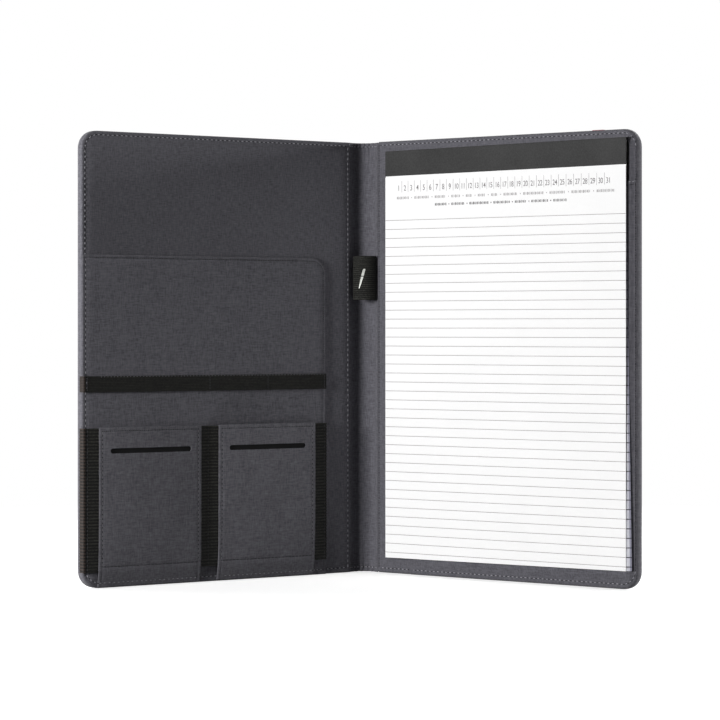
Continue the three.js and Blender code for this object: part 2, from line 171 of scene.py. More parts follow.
class Shader:
    """A node tree that grows by one node at a time."""

    def __init__(self, name: str) -> None:
        """Start an empty material with this name."""
        self.material = bpy.data.materials.new(name)
        self.material.use_nodes = True
        self.tree = self.material.node_tree
        self.tree.nodes.clear()
        self.output = self.tree.nodes.new("ShaderNodeOutputMaterial")

    def add(self, kind: str, settings: dict | None = None, **inputs: object) -> Node:
        """Add a node.

        Args:
            kind: The node's type without its ShaderNode prefix.
            settings: Properties set on the node itself.
            inputs: Socket values or linked sockets, with underscores for spaces.

        Returns:
            The new node.
        """
        node = self.tree.nodes.new(f"ShaderNode{kind}")
        for key, value in (settings or {}).items():
            setattr(node, key, value)
        for key, value in inputs.items():
            numbered = key[0] == "i" and key[1:].isdigit()
            socket = node.inputs[int(key[1:]) if numbered else key.replace("_", " ")]
            if isinstance(value, Socket):
                self.tree.links.new(value, socket)
            else:
                socket.default_value = value
        return node

    def finish(self, surface: Node) -> Finish:
        """Link the surface to the output and hand the material over."""
        self.tree.links.new(surface.outputs[0], self.output.inputs["Surface"])
        return self.material

    def skin(self, colour: Socket, roughness: float, **inputs: object) -> Finish:
        """End with a solid surface of this colour."""
        return self.finish(self.add("BsdfPrincipled", Base_Color=colour, Roughness=roughness, **inputs))

    def place(self, where: Place) -> Socket:
        """Object coordinates, turned so that they run along the cover's own axes, in millimetres."""
        coordinates = self.add("TexCoord").outputs["Object"]
        mapping = self.add(
            "Mapping", {"vector_type": "TEXTURE"}, Vector=coordinates,
            Location=tuple(where.hinge), Rotation=(0, 0, where.turn), Scale=(MM, MM, MM))
        return mapping.outputs["Vector"]

    def stretched(self, vector: Socket, scale: Point, detail: float = 2.0) -> Socket:
        """Noise whose grain has its own size along each axis."""
        mapping = self.add("Mapping", Vector=vector, Scale=scale)
        noise = self.add("TexNoise", Vector=mapping.outputs[0], Scale=1.0, Detail=detail, Roughness=0.55)
        return noise.outputs["Fac"]

    def math(self, operation: str, a: object, b: object) -> Socket:
        """One arithmetic step between two values."""
        return self.add("Math", {"operation": operation}, i0=a, i1=b).outputs[0]

    def blended(self, first: Socket, second: Socket, shares: tuple[float, float]) -> Socket:
        """The sum of two patterns, each times its share."""
        parts = [self.math("MULTIPLY", part, share) for part, share in zip((first, second), shares)]
        return self.math("ADD", *parts)

    def spread(self, value: object, low: float, high: float) -> Socket:
        """Stretch a value, so that low becomes 0 and high becomes 1."""
        return self.add("MapRange", i0=value, i1=low, i2=high, i3=0.0, i4=1.0).outputs[0]

    def mixed(self, share: Socket, low: str | Socket, high: str | Socket) -> Socket:
        """A colour between two, which are hex colours or sockets."""
        ends = [linear(end) if isinstance(end, str) else end for end in (low, high)]
        return self.add("Mix", {"data_type": "RGBA"}, i0=share, i6=ends[0], i7=ends[1]).outputs[2]


@dataclass(frozen=True)
class LinenCloth:
    """Solution-dyed polyester in a plain weave with slubs, so it is mottled and has no gloss."""

    name: str
    dark: str
    light: str
    slub_mm: float = 4.5
    thread_mm: float = 0.7
    roughness: float = 0.9
    cloud_mm: float = 38.0
    shares: tuple[float, float] = (0.46, 0.08)
    contrast: tuple[float, float] = (0.36, 0.64)

    def dress(self, where: Place) -> Finish:
        """Weave the cloth along the axes of the piece that it covers."""
        s = Shader(self.name)
        at = s.place(where)
        across = s.stretched(at, (1 / self.slub_mm, 1 / self.slub_mm, 1 / self.thread_mm), 3.0)
        upright = s.stretched(at, (1 / self.thread_mm, 1 / self.thread_mm, 1 / self.slub_mm), 3.0)
        cloudy = s.stretched(at, (1 / self.cloud_mm,) * 3, 2.0)
        slubs = s.math("ADD", across, upright)
        mottle = s.blended(slubs, cloudy, self.shares)
        colour = s.mixed(s.spread(mottle, *self.contrast), self.dark, self.light)
        weave = s.math("MULTIPLY", slubs, 0.5)
        bump = s.add("Bump", Strength=0.35, Distance=0.00035, Height=weave)
        return s.skin(colour, self.roughness, Normal=bump.outputs[0],
                      Sheen_Weight=0.12, Sheen_Roughness=0.6, Specular_IOR_Level=0.25)


@dataclass(frozen=True)
class KnittedElastic:
    """Woven elastic tape of polyester over an elastic core, whose grooves between its ribs are painted
    darker as shade.

    Where it is drawn over a cover's outer edge, which faces the light, its colour turns to a painted warm
    brown highlight.
    """

    name: str
    # groove: the colour painted into the grooves between the ribs, as shade
    groove: str
    dark: str
    light: str
    ribs_along: str = "Z"
    pitch: float = RIB_PITCH
    grain_mm: float = 0.9
    drawn_at: float = 225.6
    # Painted highlight: the warm browns the tape takes where it is drawn over the lit outer edge.
    edge_highlight_dark: str = "#0f0b09"
    edge_highlight_light: str = "#332b27"
    roughness: float = 0.72
    wear_mm: float = 14.0
    weft_mm: float = 2.2
    shares: tuple[float, float] = (0.6, 0.4)
    contrast: tuple[float, float] = (0.38, 0.64)

    def dress(self, where: Place) -> Finish:
        """Set the ribs at their pitch, with the weft's short bumps across them."""
        s = Shader(self.name)
        at = s.place(where)
        grain = s.stretched(at, (1 / self.grain_mm,) * 3, 2.0)
        worn = s.stretched(at, (1 / self.wear_mm, 1 / self.wear_mm, 1 / self.weft_mm), 2.0)
        mottle = s.blended(grain, worn, self.shares)
        ribs = s.mixed(s.spread(mottle, *self.contrast), self.dark, self.light)
        split = s.add("SeparateXYZ", Vector=at).outputs
        turn = s.math("COSINE", s.math("MULTIPLY", split[self.ribs_along], 2 * math.pi / self.pitch), 0.0)
        height = s.math("ADD", s.math("MULTIPLY", turn, 0.5), 0.5)
        # Painted shade: the grooves between the ribs are mixed towards the darker groove colour.
        woven = s.mixed(height, self.groove, ribs)
        # Painted highlight: warm brown where the tape is drawn over the cover's outer edge, which faces the
        # light.
        edge_highlight = s.mixed(height, self.edge_highlight_dark, self.edge_highlight_light)
        drawn = s.math("GREATER_THAN", s.math("ABSOLUTE", split["X"], 0.0), self.drawn_at)
        colour = s.mixed(drawn, woven, edge_highlight)
        bump = s.add("Bump", Strength=0.5, Distance=0.0003, Height=grain)
        return s.skin(colour, self.roughness, Normal=bump.outputs[0],
                      Sheen_Weight=0.03, Specular_IOR_Level=0.15)


@dataclass(frozen=True)
class Fibrous:
    """Pressed fibre, such as writing paper, card and grey board: matt, with faint clouds of fibre."""

    name: str
    dark: str
    light: str
    fibre_mm: float = 1.2
    roughness: float = 0.85
    relief: float = 0.08
    cloud_mm: float = 25.0
    shares: tuple[float, float] = (0.6, 0.4)
    contrast: tuple[float, float] = (0.35, 0.65)

    def dress(self, where: Place) -> Finish:
        """Cloud the sheet by its fibres."""
        s = Shader(self.name)
        at = s.place(where)
        fibre = s.stretched(at, (1 / self.fibre_mm,) * 3, 4.0)
        cloud = s.stretched(at, (1 / self.cloud_mm,) * 3, 2.0)
        mottle = s.blended(fibre, cloud, self.shares)
        colour = s.mixed(s.spread(mottle, *self.contrast), self.dark, self.light)
        bump = s.add("Bump", Strength=self.relief, Distance=0.0002, Height=fibre)
        return s.skin(colour, self.roughness, Normal=bump.outputs[0], Specular_IOR_Level=0.25)


@dataclass(frozen=True)
class CutSheets:
    """Guillotined edges of a stack of ruled paper: fine grey layers, ticked by the ends of the rules.

    The sheets at the back of the stack lie in the shade of the ones before them.
    """

    name: str
    dark: str
    light: str
    tick: str
    shade: str
    shaded_from: float = 4.1
    layer_mm: float = 0.3
    rule_mm: float = 6.54
    first_rule: float = 258.0
    tick_mm: float = 0.35
    shade_mm: float = 0.25
    roughness: float = 0.9
    contrast: tuple[float, float] = (0.3, 0.7)

    def dress(self, where: Place) -> Finish:
        """Layer the edges through the stack, and tick them where a rule runs off each sheet."""
        s = Shader(self.name)
        at = s.place(where)
        layers = s.stretched(at, (0.02, 1 / self.layer_mm, 0.02), 1.0)
        front = s.mixed(s.spread(layers, *self.contrast), self.dark, self.light)
        split = s.add("SeparateXYZ", Vector=at).outputs
        deep = s.spread(split["Y"], -self.shaded_from, -self.shaded_from + self.shade_mm)
        edges = s.mixed(deep, front, self.shade)
        away = s.math("PINGPONG", s.math("SUBTRACT", split["Z"], self.first_rule), self.rule_mm / 2)
        ticked = s.math("LESS_THAN", away, self.tick_mm)
        return s.skin(s.mixed(ticked, edges, self.tick), self.roughness, Specular_IOR_Level=0.2)


@dataclass(frozen=True)
class Print:
    """A thin film of ink or foil on paper or tape, so its grain is finer than the ground's."""

    name: str
    dark: str
    light: str
    roughness: float = 0.6
    metallic: float = 0.0
    grain_mm: float = 1.4

    def dress(self, where: Place) -> Finish:
        """Vary the film's density a little, as a press does."""
        s = Shader(self.name)
        density = s.stretched(s.place(where), (1 / self.grain_mm,) * 3, 3.0)
        return s.skin(s.mixed(density, self.dark, self.light), self.roughness, Metallic=self.metallic)


class Bench:
    """Modelling moves with Blender's own tools, all in the piece's own millimetres."""

    @staticmethod
    def take(obj: Piece) -> None:
        """Make this the only selected object."""
        bpy.ops.object.select_all(action="DESELECT")
        obj.select_set(True)
        bpy.context.view_layer.objects.active = obj

    @staticmethod
    def named(name: str) -> Piece:
        """Name the primitive that was just added, and set its place into its mesh."""
        obj = bpy.context.object
        obj.name = name
        obj.data.name = name
        Bench.take(obj)
        bpy.ops.object.transform_apply(location=True, rotation=True, scale=True)
        return obj

    @staticmethod
    def block(name: str, low: Point, high: Point) -> Piece:
        """A block between two corners."""
        bpy.ops.object.select_all(action="DESELECT")
        a, b = Vector(low), Vector(high)
        size = Vector([abs(v) for v in b - a])
        bpy.ops.mesh.primitive_cube_add(size=1.0, location=(a + b) / 2, scale=size)
        return Bench.named(name)

    @staticmethod
    def cloth(name: str, low: Spot, high: Spot, cuts: tuple[int, int]) -> Piece:
        """A flat upright cloth that faces the reader, with its cuts along x and z.

        Args:
            name: The piece's name.
            low: Lowest x and z.
            high: Highest x and z.
            cuts: How many squares there are along x and z.

        Returns:
            The new mesh at y = 0.
        """
        bpy.ops.object.select_all(action="DESELECT")
        middle = ((low[0] + high[0]) / 2, 0, (low[1] + high[1]) / 2)
        bpy.ops.mesh.primitive_grid_add(
            x_subdivisions=cuts[0], y_subdivisions=cuts[1], size=1.0,
            location=middle, rotation=(math.pi / 2, 0, 0))
        bpy.context.object.scale = (high[0] - low[0], high[1] - low[1], 1.0)
        return Bench.named(name)

    @staticmethod
    def move(obj: Piece, rule: Callable[[Vector], Vector]) -> Piece:
        """Shape a soft piece: each of its points goes where the rule says."""
        for vertex in obj.data.vertices:
            vertex.co = rule(vertex.co.copy())
        obj.data.update()
        return obj

    @staticmethod
    def edges(obj: Piece, test: Callable[[Vector, Vector], bool]) -> None:
        """Open the piece in edit mode with the edges that pass the test selected."""
        Bench.take(obj)
        bpy.ops.object.mode_set(mode="EDIT")
        bpy.ops.mesh.select_mode(type="EDGE")
        bpy.ops.mesh.select_all(action="DESELECT")
        bpy.ops.object.mode_set(mode="OBJECT")
        points = obj.data.vertices
        for edge in obj.data.edges:
            a, b = (points[i].co for i in edge.vertices)
            edge.select = test(a, b)
        bpy.ops.object.mode_set(mode="EDIT")

    @staticmethod
    def round_edges(
        obj: Piece, test: Callable[[Vector, Vector], bool], radius: float, steps: int
    ) -> Piece:
        """Round the edges that pass the test."""
        Bench.edges(obj, test)
        bpy.ops.mesh.bevel(offset=radius, segments=steps, affect="EDGES", clamp_overlap=True)
        bpy.ops.object.mode_set(mode="OBJECT")
        return obj

    @staticmethod
    def press_groove(obj: Piece, toward: Vector, steps: Sequence[Spot]) -> Piece:
        """Inset the largest face that looks one way, again and again, to press a line into it.

        Args:
            obj: The piece.
            toward: The way the face looks.
            steps: Width and depth of each inset.

        Returns:
            The same piece.
        """
        Bench.take(obj)
        bpy.ops.object.mode_set(mode="EDIT")
        bpy.ops.mesh.select_mode(type="FACE")
        bpy.ops.mesh.select_all(action="DESELECT")
        bpy.ops.object.mode_set(mode="OBJECT")
        facing = [f for f in obj.data.polygons if f.normal.dot(toward) > 0.999]
        max(facing, key=lambda f: f.area).select = True
        bpy.ops.object.mode_set(mode="EDIT")
        for width, depth in steps:
            bpy.ops.mesh.inset(thickness=width, depth=depth, use_even_offset=True)
        bpy.ops.object.mode_set(mode="OBJECT")
        return obj

    @staticmethod
    def whole(obj: Piece, tool: Callable[[], object]) -> Piece:
        """Use an edit tool on all of a piece."""
        Bench.take(obj)
        bpy.ops.object.mode_set(mode="EDIT")
        bpy.ops.mesh.select_all(action="SELECT")
        tool()
        bpy.ops.object.mode_set(mode="OBJECT")
        return obj

    @staticmethod
    def flip(obj: Piece) -> Piece:
        """Turn a cloth's faces to look the other way."""
        return Bench.whole(obj, lambda: bpy.ops.mesh.flip_normals())

    @staticmethod
    def thicken(obj: Piece, thickness: float, offset: float = -1.0, even: bool = True) -> Piece:
        """Give a cloth its thickness; an offset of -1 lays it behind the face that was shaped."""
        Bench.take(obj)
        solid = obj.modifiers.new("thickness", "SOLIDIFY")
        solid.thickness = thickness
        solid.offset = offset
        solid.use_even_offset = even
        bpy.ops.object.modifier_apply(modifier=solid.name)
        return obj

    @staticmethod
    def cut(obj: Piece, cutter: Piece) -> Piece:
        """Cut one piece's shape out of another, and throw the cutter away."""
        Bench.take(obj)
        hole = obj.modifiers.new("hole", "BOOLEAN")
        hole.operation = "DIFFERENCE"
        hole.solver = "EXACT"
        hole.object = cutter
        bpy.ops.object.modifier_apply(modifier=hole.name)
        bpy.data.objects.remove(cutter, do_unlink=True)
        return obj

    @staticmethod
    def join(name: str, pieces: Sequence[Piece]) -> Piece:
        """Make one piece of several."""
        bpy.ops.object.select_all(action="DESELECT")
        for piece in pieces:
            piece.select_set(True)
        bpy.context.view_layer.objects.active = pieces[0]
        if len(pieces) > 1:
            bpy.ops.object.join()
        pieces[0].name = name
        pieces[0].data.name = name
        return pieces[0]

    @staticmethod
    def copies(name: str, pattern: Piece, places: Sequence[Matrix]) -> Piece:
        """Repeat a small shape at many places as one mesh, and throw the pattern away."""
        count = len(pattern.data.vertices)
        rest = np.array([(*v.co, 1.0) for v in pattern.data.vertices])
        faces = [tuple(f.vertices) for f in pattern.data.polygons]
        points = np.concatenate([rest @ np.array(m).T for m in places])[:, :3]
        all_faces = [tuple(i + k * count for i in f) for k in range(len(places)) for f in faces]
        mesh = bpy.data.meshes.new(name)
        mesh.from_pydata(points.tolist(), [], all_faces)
        mesh.update()
        obj = bpy.data.objects.new(name, mesh)
        bpy.context.scene.collection.objects.link(obj)
        bpy.data.objects.remove(pattern, do_unlink=True)
        return obj

    @staticmethod
    def smooth(obj: Piece, degrees: float = 40.0) -> Piece:
        """Shade the piece smooth, except over sharper edges."""
        Bench.take(obj)
        bpy.ops.object.shade_smooth_by_angle(angle=math.radians(degrees))
        return obj


def spaced(path: Path, pitch: float) -> list[tuple[Vector, Vector]]:
    """Even steps along a path.

    Args:
        path: The points of the path.
        pitch: The wanted step.

    Returns:
        Each step's middle and its direction.
    """
    lengths = [(b - a).length for a, b in zip(path, path[1:])]
    total = sum(lengths)
    count = max(1, round(total / pitch))
    found = []
    for k in range(count):
        at, leg = (k + 0.5) / count * total, 0
        while leg < len(lengths) - 1 and at > lengths[leg]:
            at -= lengths[leg]
            leg += 1
        a, b = path[leg], path[leg + 1]
        found.append((a.lerp(b, at / max(lengths[leg], 1e-9)), (b - a).normalized()))
    return found


def spot_on(profile: Profile, share: float) -> tuple[Spot, Spot]:
    """Walk along a profile.

    Args:
        profile: Its points.
        share: How much of its length to walk, from 0 to 1.

    Returns:
        The place, and the leg that it lies on as one step.
    """
    legs = [(a, b, math.dist(a, b)) for a, b in zip(profile, profile[1:])]
    at = min(max(share, 0.0), 1.0) * sum(length for _, _, length in legs)
    for a, b, length in legs[:-1]:
        if at <= length:
            break
        at -= length
    else:
        a, b, length = legs[-1]
    step = (b[0] - a[0], b[1] - a[1])
    t = min(at / length, 1.0)
    return (a[0] + step[0] * t, a[1] + step[1] * t), step


def both_at(a: Vector, b: Vector, axis: int, value: float) -> bool:
    """Whether both ends of an edge lie at a value on one axis."""
    return abs(a[axis] - value) < NEAR and abs(b[axis] - value) < NEAR


def crowded(share: float, fine: float, cuts: float) -> float:
    """Bunch a cloth's cuts towards its far end, where it turns tightly.

    Args:
        share: Where an even cut would be, from 0 to 1.
        fine: The part of the length, at the far end, that is cut finely.
        cuts: The part of the cuts that it gets.

    Returns:
        Where the cut goes, from 0 to 1.
    """
    if share < 1 - cuts:
        return share / (1 - cuts) * (1 - fine)
    return 1 - (1 - share) / cuts * fine


def eased(t: float) -> float:
    """A soft step from 0 to 1."""
    t = min(max(t, 0.0), 1.0)
    return t * t * (3 - 2 * t)


def ridge(x: float, centre: float, width: float) -> float:
    """A soft ridge, 1 high at its centre, that falls away on both sides."""
    return math.exp(-((x - centre) / width) ** 2)


def corner_path(
    outer: float, low: float, high: float, start: float, radius: float, at: Callable[[float, float], Vector]
) -> Path:
    """A seam along a cover's bottom, outer and top edges, round its two outer corners.

    Args:
        outer: u of the upright run.
        low: Height of the bottom run.
        high: Height of the top run.
        start: u where both level runs begin.
        radius: Radius round the corners.
        at: The point of the cover's face for u and z.

    Returns:
        The path, from the gutter along the bottom, up and back.
    """
    turns = []
    for centre_z, first in ((low + radius, -90.0), (high - radius, 0.0)):
        for step in range(9):
            a = math.radians(first + 90.0 * step / 8)
            turns.append((outer - radius + radius * math.cos(a), centre_z + radius * math.sin(a)))
    bottom = [(start + (outer - radius - start) * k / 40, low) for k in range(40)]
    top = [(outer - radius - (outer - radius - start) * k / 40, high) for k in range(1, 41)]
    side = [(outer, low + radius + (high - low - 2 * radius) * k / 60) for k in range(1, 60)]
    route = bottom + turns[:9] + side + turns[9:] + top
    return [at(u, z) for u, z in route]


@dataclass
class Stitching:
    """A sewn row: thread over cloth, and the needle holes that it pulls in, drawn as dark beads of painted
    shade.
    """

    pitch: float = 3.7
    thread: float = 0.5
    share: float = 0.66
    rise: float = 0.1

    def rows(self, name: str, paths: Iterable[Path], outward: Vector) -> tuple[Piece, Piece]:
        """Sew along each path.

        Args:
            name: The seam's name.
            paths: The paths, on the face of the cloth.
            outward: The way the cloth faces.

        Returns:
            The thread and the needle holes.
        """
        threads, holes = [], []
        for path in paths:
            for middle, along in spaced(path, self.pitch):
                side = outward.cross(along).normalized()
                up = along.cross(side).normalized()
                turn = Matrix((along, side, up)).transposed().to_4x4()
                threads.append(Matrix.Translation(middle + up * self.rise) @ turn)
                holes.append(Matrix.Translation(middle + along * self.pitch / 2 + up * 0.02) @ turn)
        stitch_half = (self.pitch * self.share / 2, self.thread / 2, self.thread * 0.42)
        hole_half = (self.pitch * (1 - self.share) * 0.42, self.thread * 0.62, 0.1)
        stitch, hole = self.bead(f"{name}_stitch", stitch_half), self.bead(f"{name}_hole", hole_half)
        return Bench.copies(f"{name}_thread", stitch, threads), Bench.copies(f"{name}_holes", hole, holes)

    def bead(self, name: str, half: Point) -> Piece:
        """One stitch or hole, as a small drawn-out bead."""
        bpy.ops.object.select_all(action="DESELECT")
        bpy.ops.mesh.primitive_uv_sphere_add(
            segments=6, ring_count=5, radius=1.0, rotation=(0, math.pi / 2, 0))
        bpy.context.object.name = name
        bead = Bench.named(name)
        return Bench.move(bead, lambda p: Vector((p.x * half[0], p.y * half[1], p.z * half[2])))


class Wardrobe:
    """Every finish, dressed once for each place that needs it."""

    recipes = {
        "shell_cloth": LinenCloth("woven_polyester_shell", "#4b4a50", "#6d6c73"),
        "lining_cloth": LinenCloth("woven_polyester_lining", "#47464c", "#69686f"),
        # A lighter copy of the lining cloth for the pocket fronts: painted light, for the stronger light on
        # the lower part of the cover.
        "pocket_lit_cloth": LinenCloth("woven_polyester_pocket", "#4e4d53", "#75747b"),
        # A near-black sheet behind each card slit: painted shade of the pocket's inside.
        "slit_shadow_cloth": Fibrous("felted_pocket_inside", "#020203", "#060607", 0.8, 0.95, 0.3),
        # One polyester thread in three looks: the light and mid-grey ones are painted lighter, as a
        # highlight where the thread catches the light.
        "thread_light": Print("polyester_thread_light", "#8d8c93", "#b0afb6", 0.7),
        "thread_mixed": Print("polyester_thread_worn", "#56555b", "#838288", 0.7),
        "thread_dark": Print("polyester_thread_dark", "#1c1b20", "#27262b", 0.7),
        # Needle holes are dark beads of painted shade, fainter beside the light rows; like the thread, they
        # use Print's plain two-tone finish.
        "needle_hole": Print("needle_hole_shadow", "#0a0a0c", "#111113", 0.95),
        "needle_mark": Print("needle_hole_edge", "#26262a", "#323236", 0.95),
        "elastic": KnittedElastic("ribbed_elastic", "#080807", "#1b1b19", "#3c3c38"),
        "gusset_elastic": KnittedElastic(
            "wide_ribbed_elastic", "#060606", "#171715", "#373733", "Z", GUSSET_PITCH),
        "organiser_elastic": KnittedElastic(
            "knitted_organiser_elastic", "#080807", "#0c0c0b", "#2c2c28", "Z", KNIT_PITCH, 1.4),
        "closure_elastic": KnittedElastic("ribbed_closure_elastic", "#080807", "#1b1b19", "#3c3c38", "X"),
        "red_tape": KnittedElastic("woven_red_tape", "#6a2430", "#8e2f3c", "#b04a55"),
        "paper": Fibrous("uncoated_writing_paper", "#fbfbfb", "#ffffff", 0.9, 0.8, 0.05),
        "paper_stack": CutSheets("guillotined_ruled_sheets", "#d4d4de", "#fafaff", "#55555f", "#a4a4b4"),
        "head_tape": Fibrous("dyed_binding_paper", "#2c2c2c", "#3b3b3b", 1.1, 0.75, 0.25),
        "grey_card": Fibrous("pressed_grey_card", "#84807a", "#a09b93", 1.6),
        "grey_board": Fibrous("pressed_grey_board", "#7c7265", "#978c7c", 1.8),
        "foam": Fibrous("cut_foam_sheet", "#262628", "#36363a", 0.8, 0.95, 0.4),
        "glue": Fibrous("brushed_padding_glue", "#c3bdac", "#ddd8ca", 3.0, 0.55, 0.3),
        "rule_ink": Print("pale_grey_ink", "#a29e9f", "#b1adae"),
        "text_ink": Print("grey_ink", "#625e60", "#7d797b"),
        "month_ink": Print("light_grey_ink", "#979495", "#b0adae"),
        "bold_ink": Print("dark_grey_ink", "#4a4749", "#646163"),
        "silver_foil": Print("silver_transfer_print", "#9c9e98", "#cfd0cb", 0.38, 0.35),
    }

    def __init__(self) -> None:
        """Start with nothing dressed."""
        self.made: dict[tuple[str, str], Finish] = {}

    def take(self, recipe: str, where: Place) -> Finish:
        """The finish for a place, made the first time it is asked for."""
        key = (recipe, where.name)
        if key not in self.made:
            material = self.recipes[recipe].dress(where)
            material.name = f"{material.name}_{where.name}"
            self.made[key] = material
        return self.made[key]


@dataclass
class Maker:
    """Makes the pieces of one place, and dresses each when its shape is done."""

    where: Place
    wardrobe: Wardrobe

    @property
    def body(self) -> str:
        """The CAD body that the pieces ride on."""
        return "spine"

    def dress(self, obj: Piece, slot: str, recipe: str, *stands_for: str, body: str = "") -> Piece:
        """Fold a finished piece into its place in the frame and dress it.

        Args:
            obj: The piece, in its own millimetres.
            slot: The record's material slot; not used.
            recipe: The wardrobe's name for its finish.
            stands_for: The CAD nodes that it replaces.
            body: The CAD body that it rides on, where that isn't the maker's own.

        Returns:
            The same piece.
        """
        body = body or self.body
        obj.data.transform(self.where.matrix)
        obj.data.materials.clear()
        obj.data.materials.append(self.wardrobe.take(recipe, self.where))
        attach(obj, body)
        if stands_for:
            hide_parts(*stands_for)
        log.info("%s: %d faces on %s", obj.name, len(obj.data.polygons), body)
        return obj


@dataclass
class CoverCase(Maker):
    """One cover's cloth: an outer shell and a lining, sewn together round the edge."""

    where: FoldedCover
    height: float = 316.0
    outer: float = 226.75
    gutter: float = 0.35
    corner: float = 12.5
    back: float = -6.0
    seam: float = -3.0
    edge_roll: float = 0.5
    front_roll: float = 0.5
    back_roll: float = 0.5
    seam_inset: float = 2.4
    seam_low: float = 3.6
    seam_high: float = 2.8
    gutter_seam: float = 1.4
    # Light rows are drawn with the thread painted lighter as a highlight.
    gutter_row: Row = Row.LIGHT
    side_row: Row = Row.LIGHT

    @property
    def prefix(self) -> str:
        """The start of this cover's names."""
        return self.where.name

    @property
    def body(self) -> str:
        """The CAD body that this cover is."""
        return f"{self.prefix}_cover"

    def slab(self, name: str, n_low: float, n_high: float, rolled: float, roll: float) -> Piece:
        """A cloth-covered slab with the cover's outline, its edges rolled on one face.

        Args:
            name: The piece's name.
            n_low: Its level n at the back.
            n_high: Its level n at the front.
            rolled: The level of the face whose edges are rolled.
            roll: Radius of the roll round the outer, top and bottom edges.

        Returns:
            The slab.
        """
        x = self.where.side.value
        low = self.where.at(self.gutter, n_high, 0)
        high = self.where.at(self.outer, n_low, self.height)
        slab = Bench.block(name, tuple(low), tuple(high))
        face, outer_x, gutter_x = -rolled, x * self.outer, x * self.gutter

        def at_gutter(a: Vector, b: Vector) -> bool:
            return both_at(a, b, X, gutter_x)

        Bench.round_edges(
            slab, lambda a, b: both_at(a, b, X, outer_x) and abs(a.z - b.z) < NEAR, self.corner, 10)
        Bench.round_edges(
            slab, lambda a, b: both_at(a, b, Y, face) and not at_gutter(a, b), roll, 6)
        Bench.round_edges(
            slab, lambda a, b: both_at(a, b, Y, face) and at_gutter(a, b), self.edge_roll, 3)
        way = Vector((0, math.copysign(1, face if face else -1.0), 0))
        wide, deep = 0.6, 0.22
        room = max(self.seam_high - roll - wide, 0.1)
        steps = [(room, 0.0), (wide, -deep), (wide, deep), (5.0, 0.1)]
        Bench.press_groove(slab, way, steps)
        return Bench.smooth(slab, 35)

    def build(self) -> None:
        """Make the shell, the lining and the row of stitches that joins them."""
        gap = 0.06
        shell = self.slab(
            f"{self.prefix}_shell_cloth", self.back, self.seam - gap, self.back, self.back_roll)
        lining = self.slab(f"{self.prefix}_lining_cloth", self.seam + gap, 0.0, 0.0, self.front_roll)
        self.dress(shell, "fabric_shell", "shell_cloth", f"{self.prefix}_shell")
        self.dress(lining, "fabric_lining", "lining_cloth", f"{self.prefix}_lining")
        self.sew()

    def face(self, u: float, z: float) -> float:
        """How far the topmost cloth stands off the lining at a place on the edge seam."""
        return 0.0

    def sew(self) -> None:
        """Sew the edge seam through every layer, and again along the gutter."""
        low, high, start = self.seam_low, self.height - self.seam_high, 3.2
        radius, end = self.corner - 2.4, 3

        def on_face(u: float, z: float) -> Vector:
            return self.where.at(u, self.face(u, z), z)

        around = corner_path(self.outer - self.seam_inset, low, high, start, radius, on_face)
        gutter = [on_face(self.gutter_seam, end + (self.height - 2 * end) * k / 60) for k in range(61)]
        behind = corner_path(self.outer - 2.4, low, high, start, radius,
                             lambda u, z: self.where.at(u, self.back, z))
        low_turn, high_turn = 48, 108
        ends, side = [around[: low_turn + 1], around[high_turn:]], around[low_turn : high_turn + 1]
        sewing = Stitching(3.7, 0.55, 0.45)
        self.sew_seam(f"{self.prefix}_edge_seam", ends, sewing, Row.LIGHT)
        self.sew_seam(f"{self.prefix}_side_seam", [side], sewing, self.side_row)
        self.sew_seam(f"{self.prefix}_gutter_seam", [gutter], sewing, self.gutter_row)
        self.sew_seam(f"{self.prefix}_outer_seam", [behind], sewing, Row.LIGHT, -FORWARD)

    def sew_seam(
        self, name: str, paths: Iterable[Path], sewing: Stitching, row: Row, outward: Vector = FORWARD
    ) -> None:
        """Sew a seam, and set up its thread and its needle holes.

        Args:
            name: The seam's name.
            paths: Where it runs, on the face of the cloth.
            sewing: Its stitches.
            row: How its thread looks.
            outward: The way the cloth faces.
        """
        # Needle holes get painted shade, fainter beside a light row.
        recipes = (f"thread_{row.value}", "needle_mark" if row is Row.LIGHT else "needle_hole")
        for piece, recipe in zip(sewing.rows(name, paths, outward), recipes):
            self.dress(Bench.smooth(piece, 80), "fabric_lining", recipe)


@dataclass
class PocketForm:
    """The shape of a pocket on the gusset: its place, its rise off the panel and its crown."""

    start: float
    rise: float
    width: float = 83.5
    crown: float = 1.2
    settle: float = 15.0
    base: float = 2.1
    seat: float = 1.1
    gusset_low: float = 11.0
    low: float = 0.9
    top: float = 111.0
    hem: float = 2.6
    base_seam: float = 14.7
    slit: float = 94.6

    @property
    def middle(self) -> float:
        """u of the pocket's middle."""
        return self.start + self.width / 2

    def lift(self, z: float) -> float:
        """The share of its full rise that the pocket has at a height."""
        return 1 - math.exp(-max(z, 0.0) / self.settle)

    def bow(self, share: float) -> float:
        """The rise across the pocket, fullest in its middle."""
        return self.rise + self.crown * (1 - (2 * share - 1) ** 2)

    def back(self, u: float, z: float) -> float:
        """Level of the pocket front's inner face."""
        share = (u - self.start) / self.width
        over = min(max(z, 0.0) / self.gusset_low, 1.0) * self.seat
        return self.base + self.lift(z) * self.bow(share) + over

    def covers(self, u: float, z: float) -> bool:
        """Whether a place on the cover lies under this pocket's cloth."""
        return self.start <= u <= self.start + self.width and z <= self.top


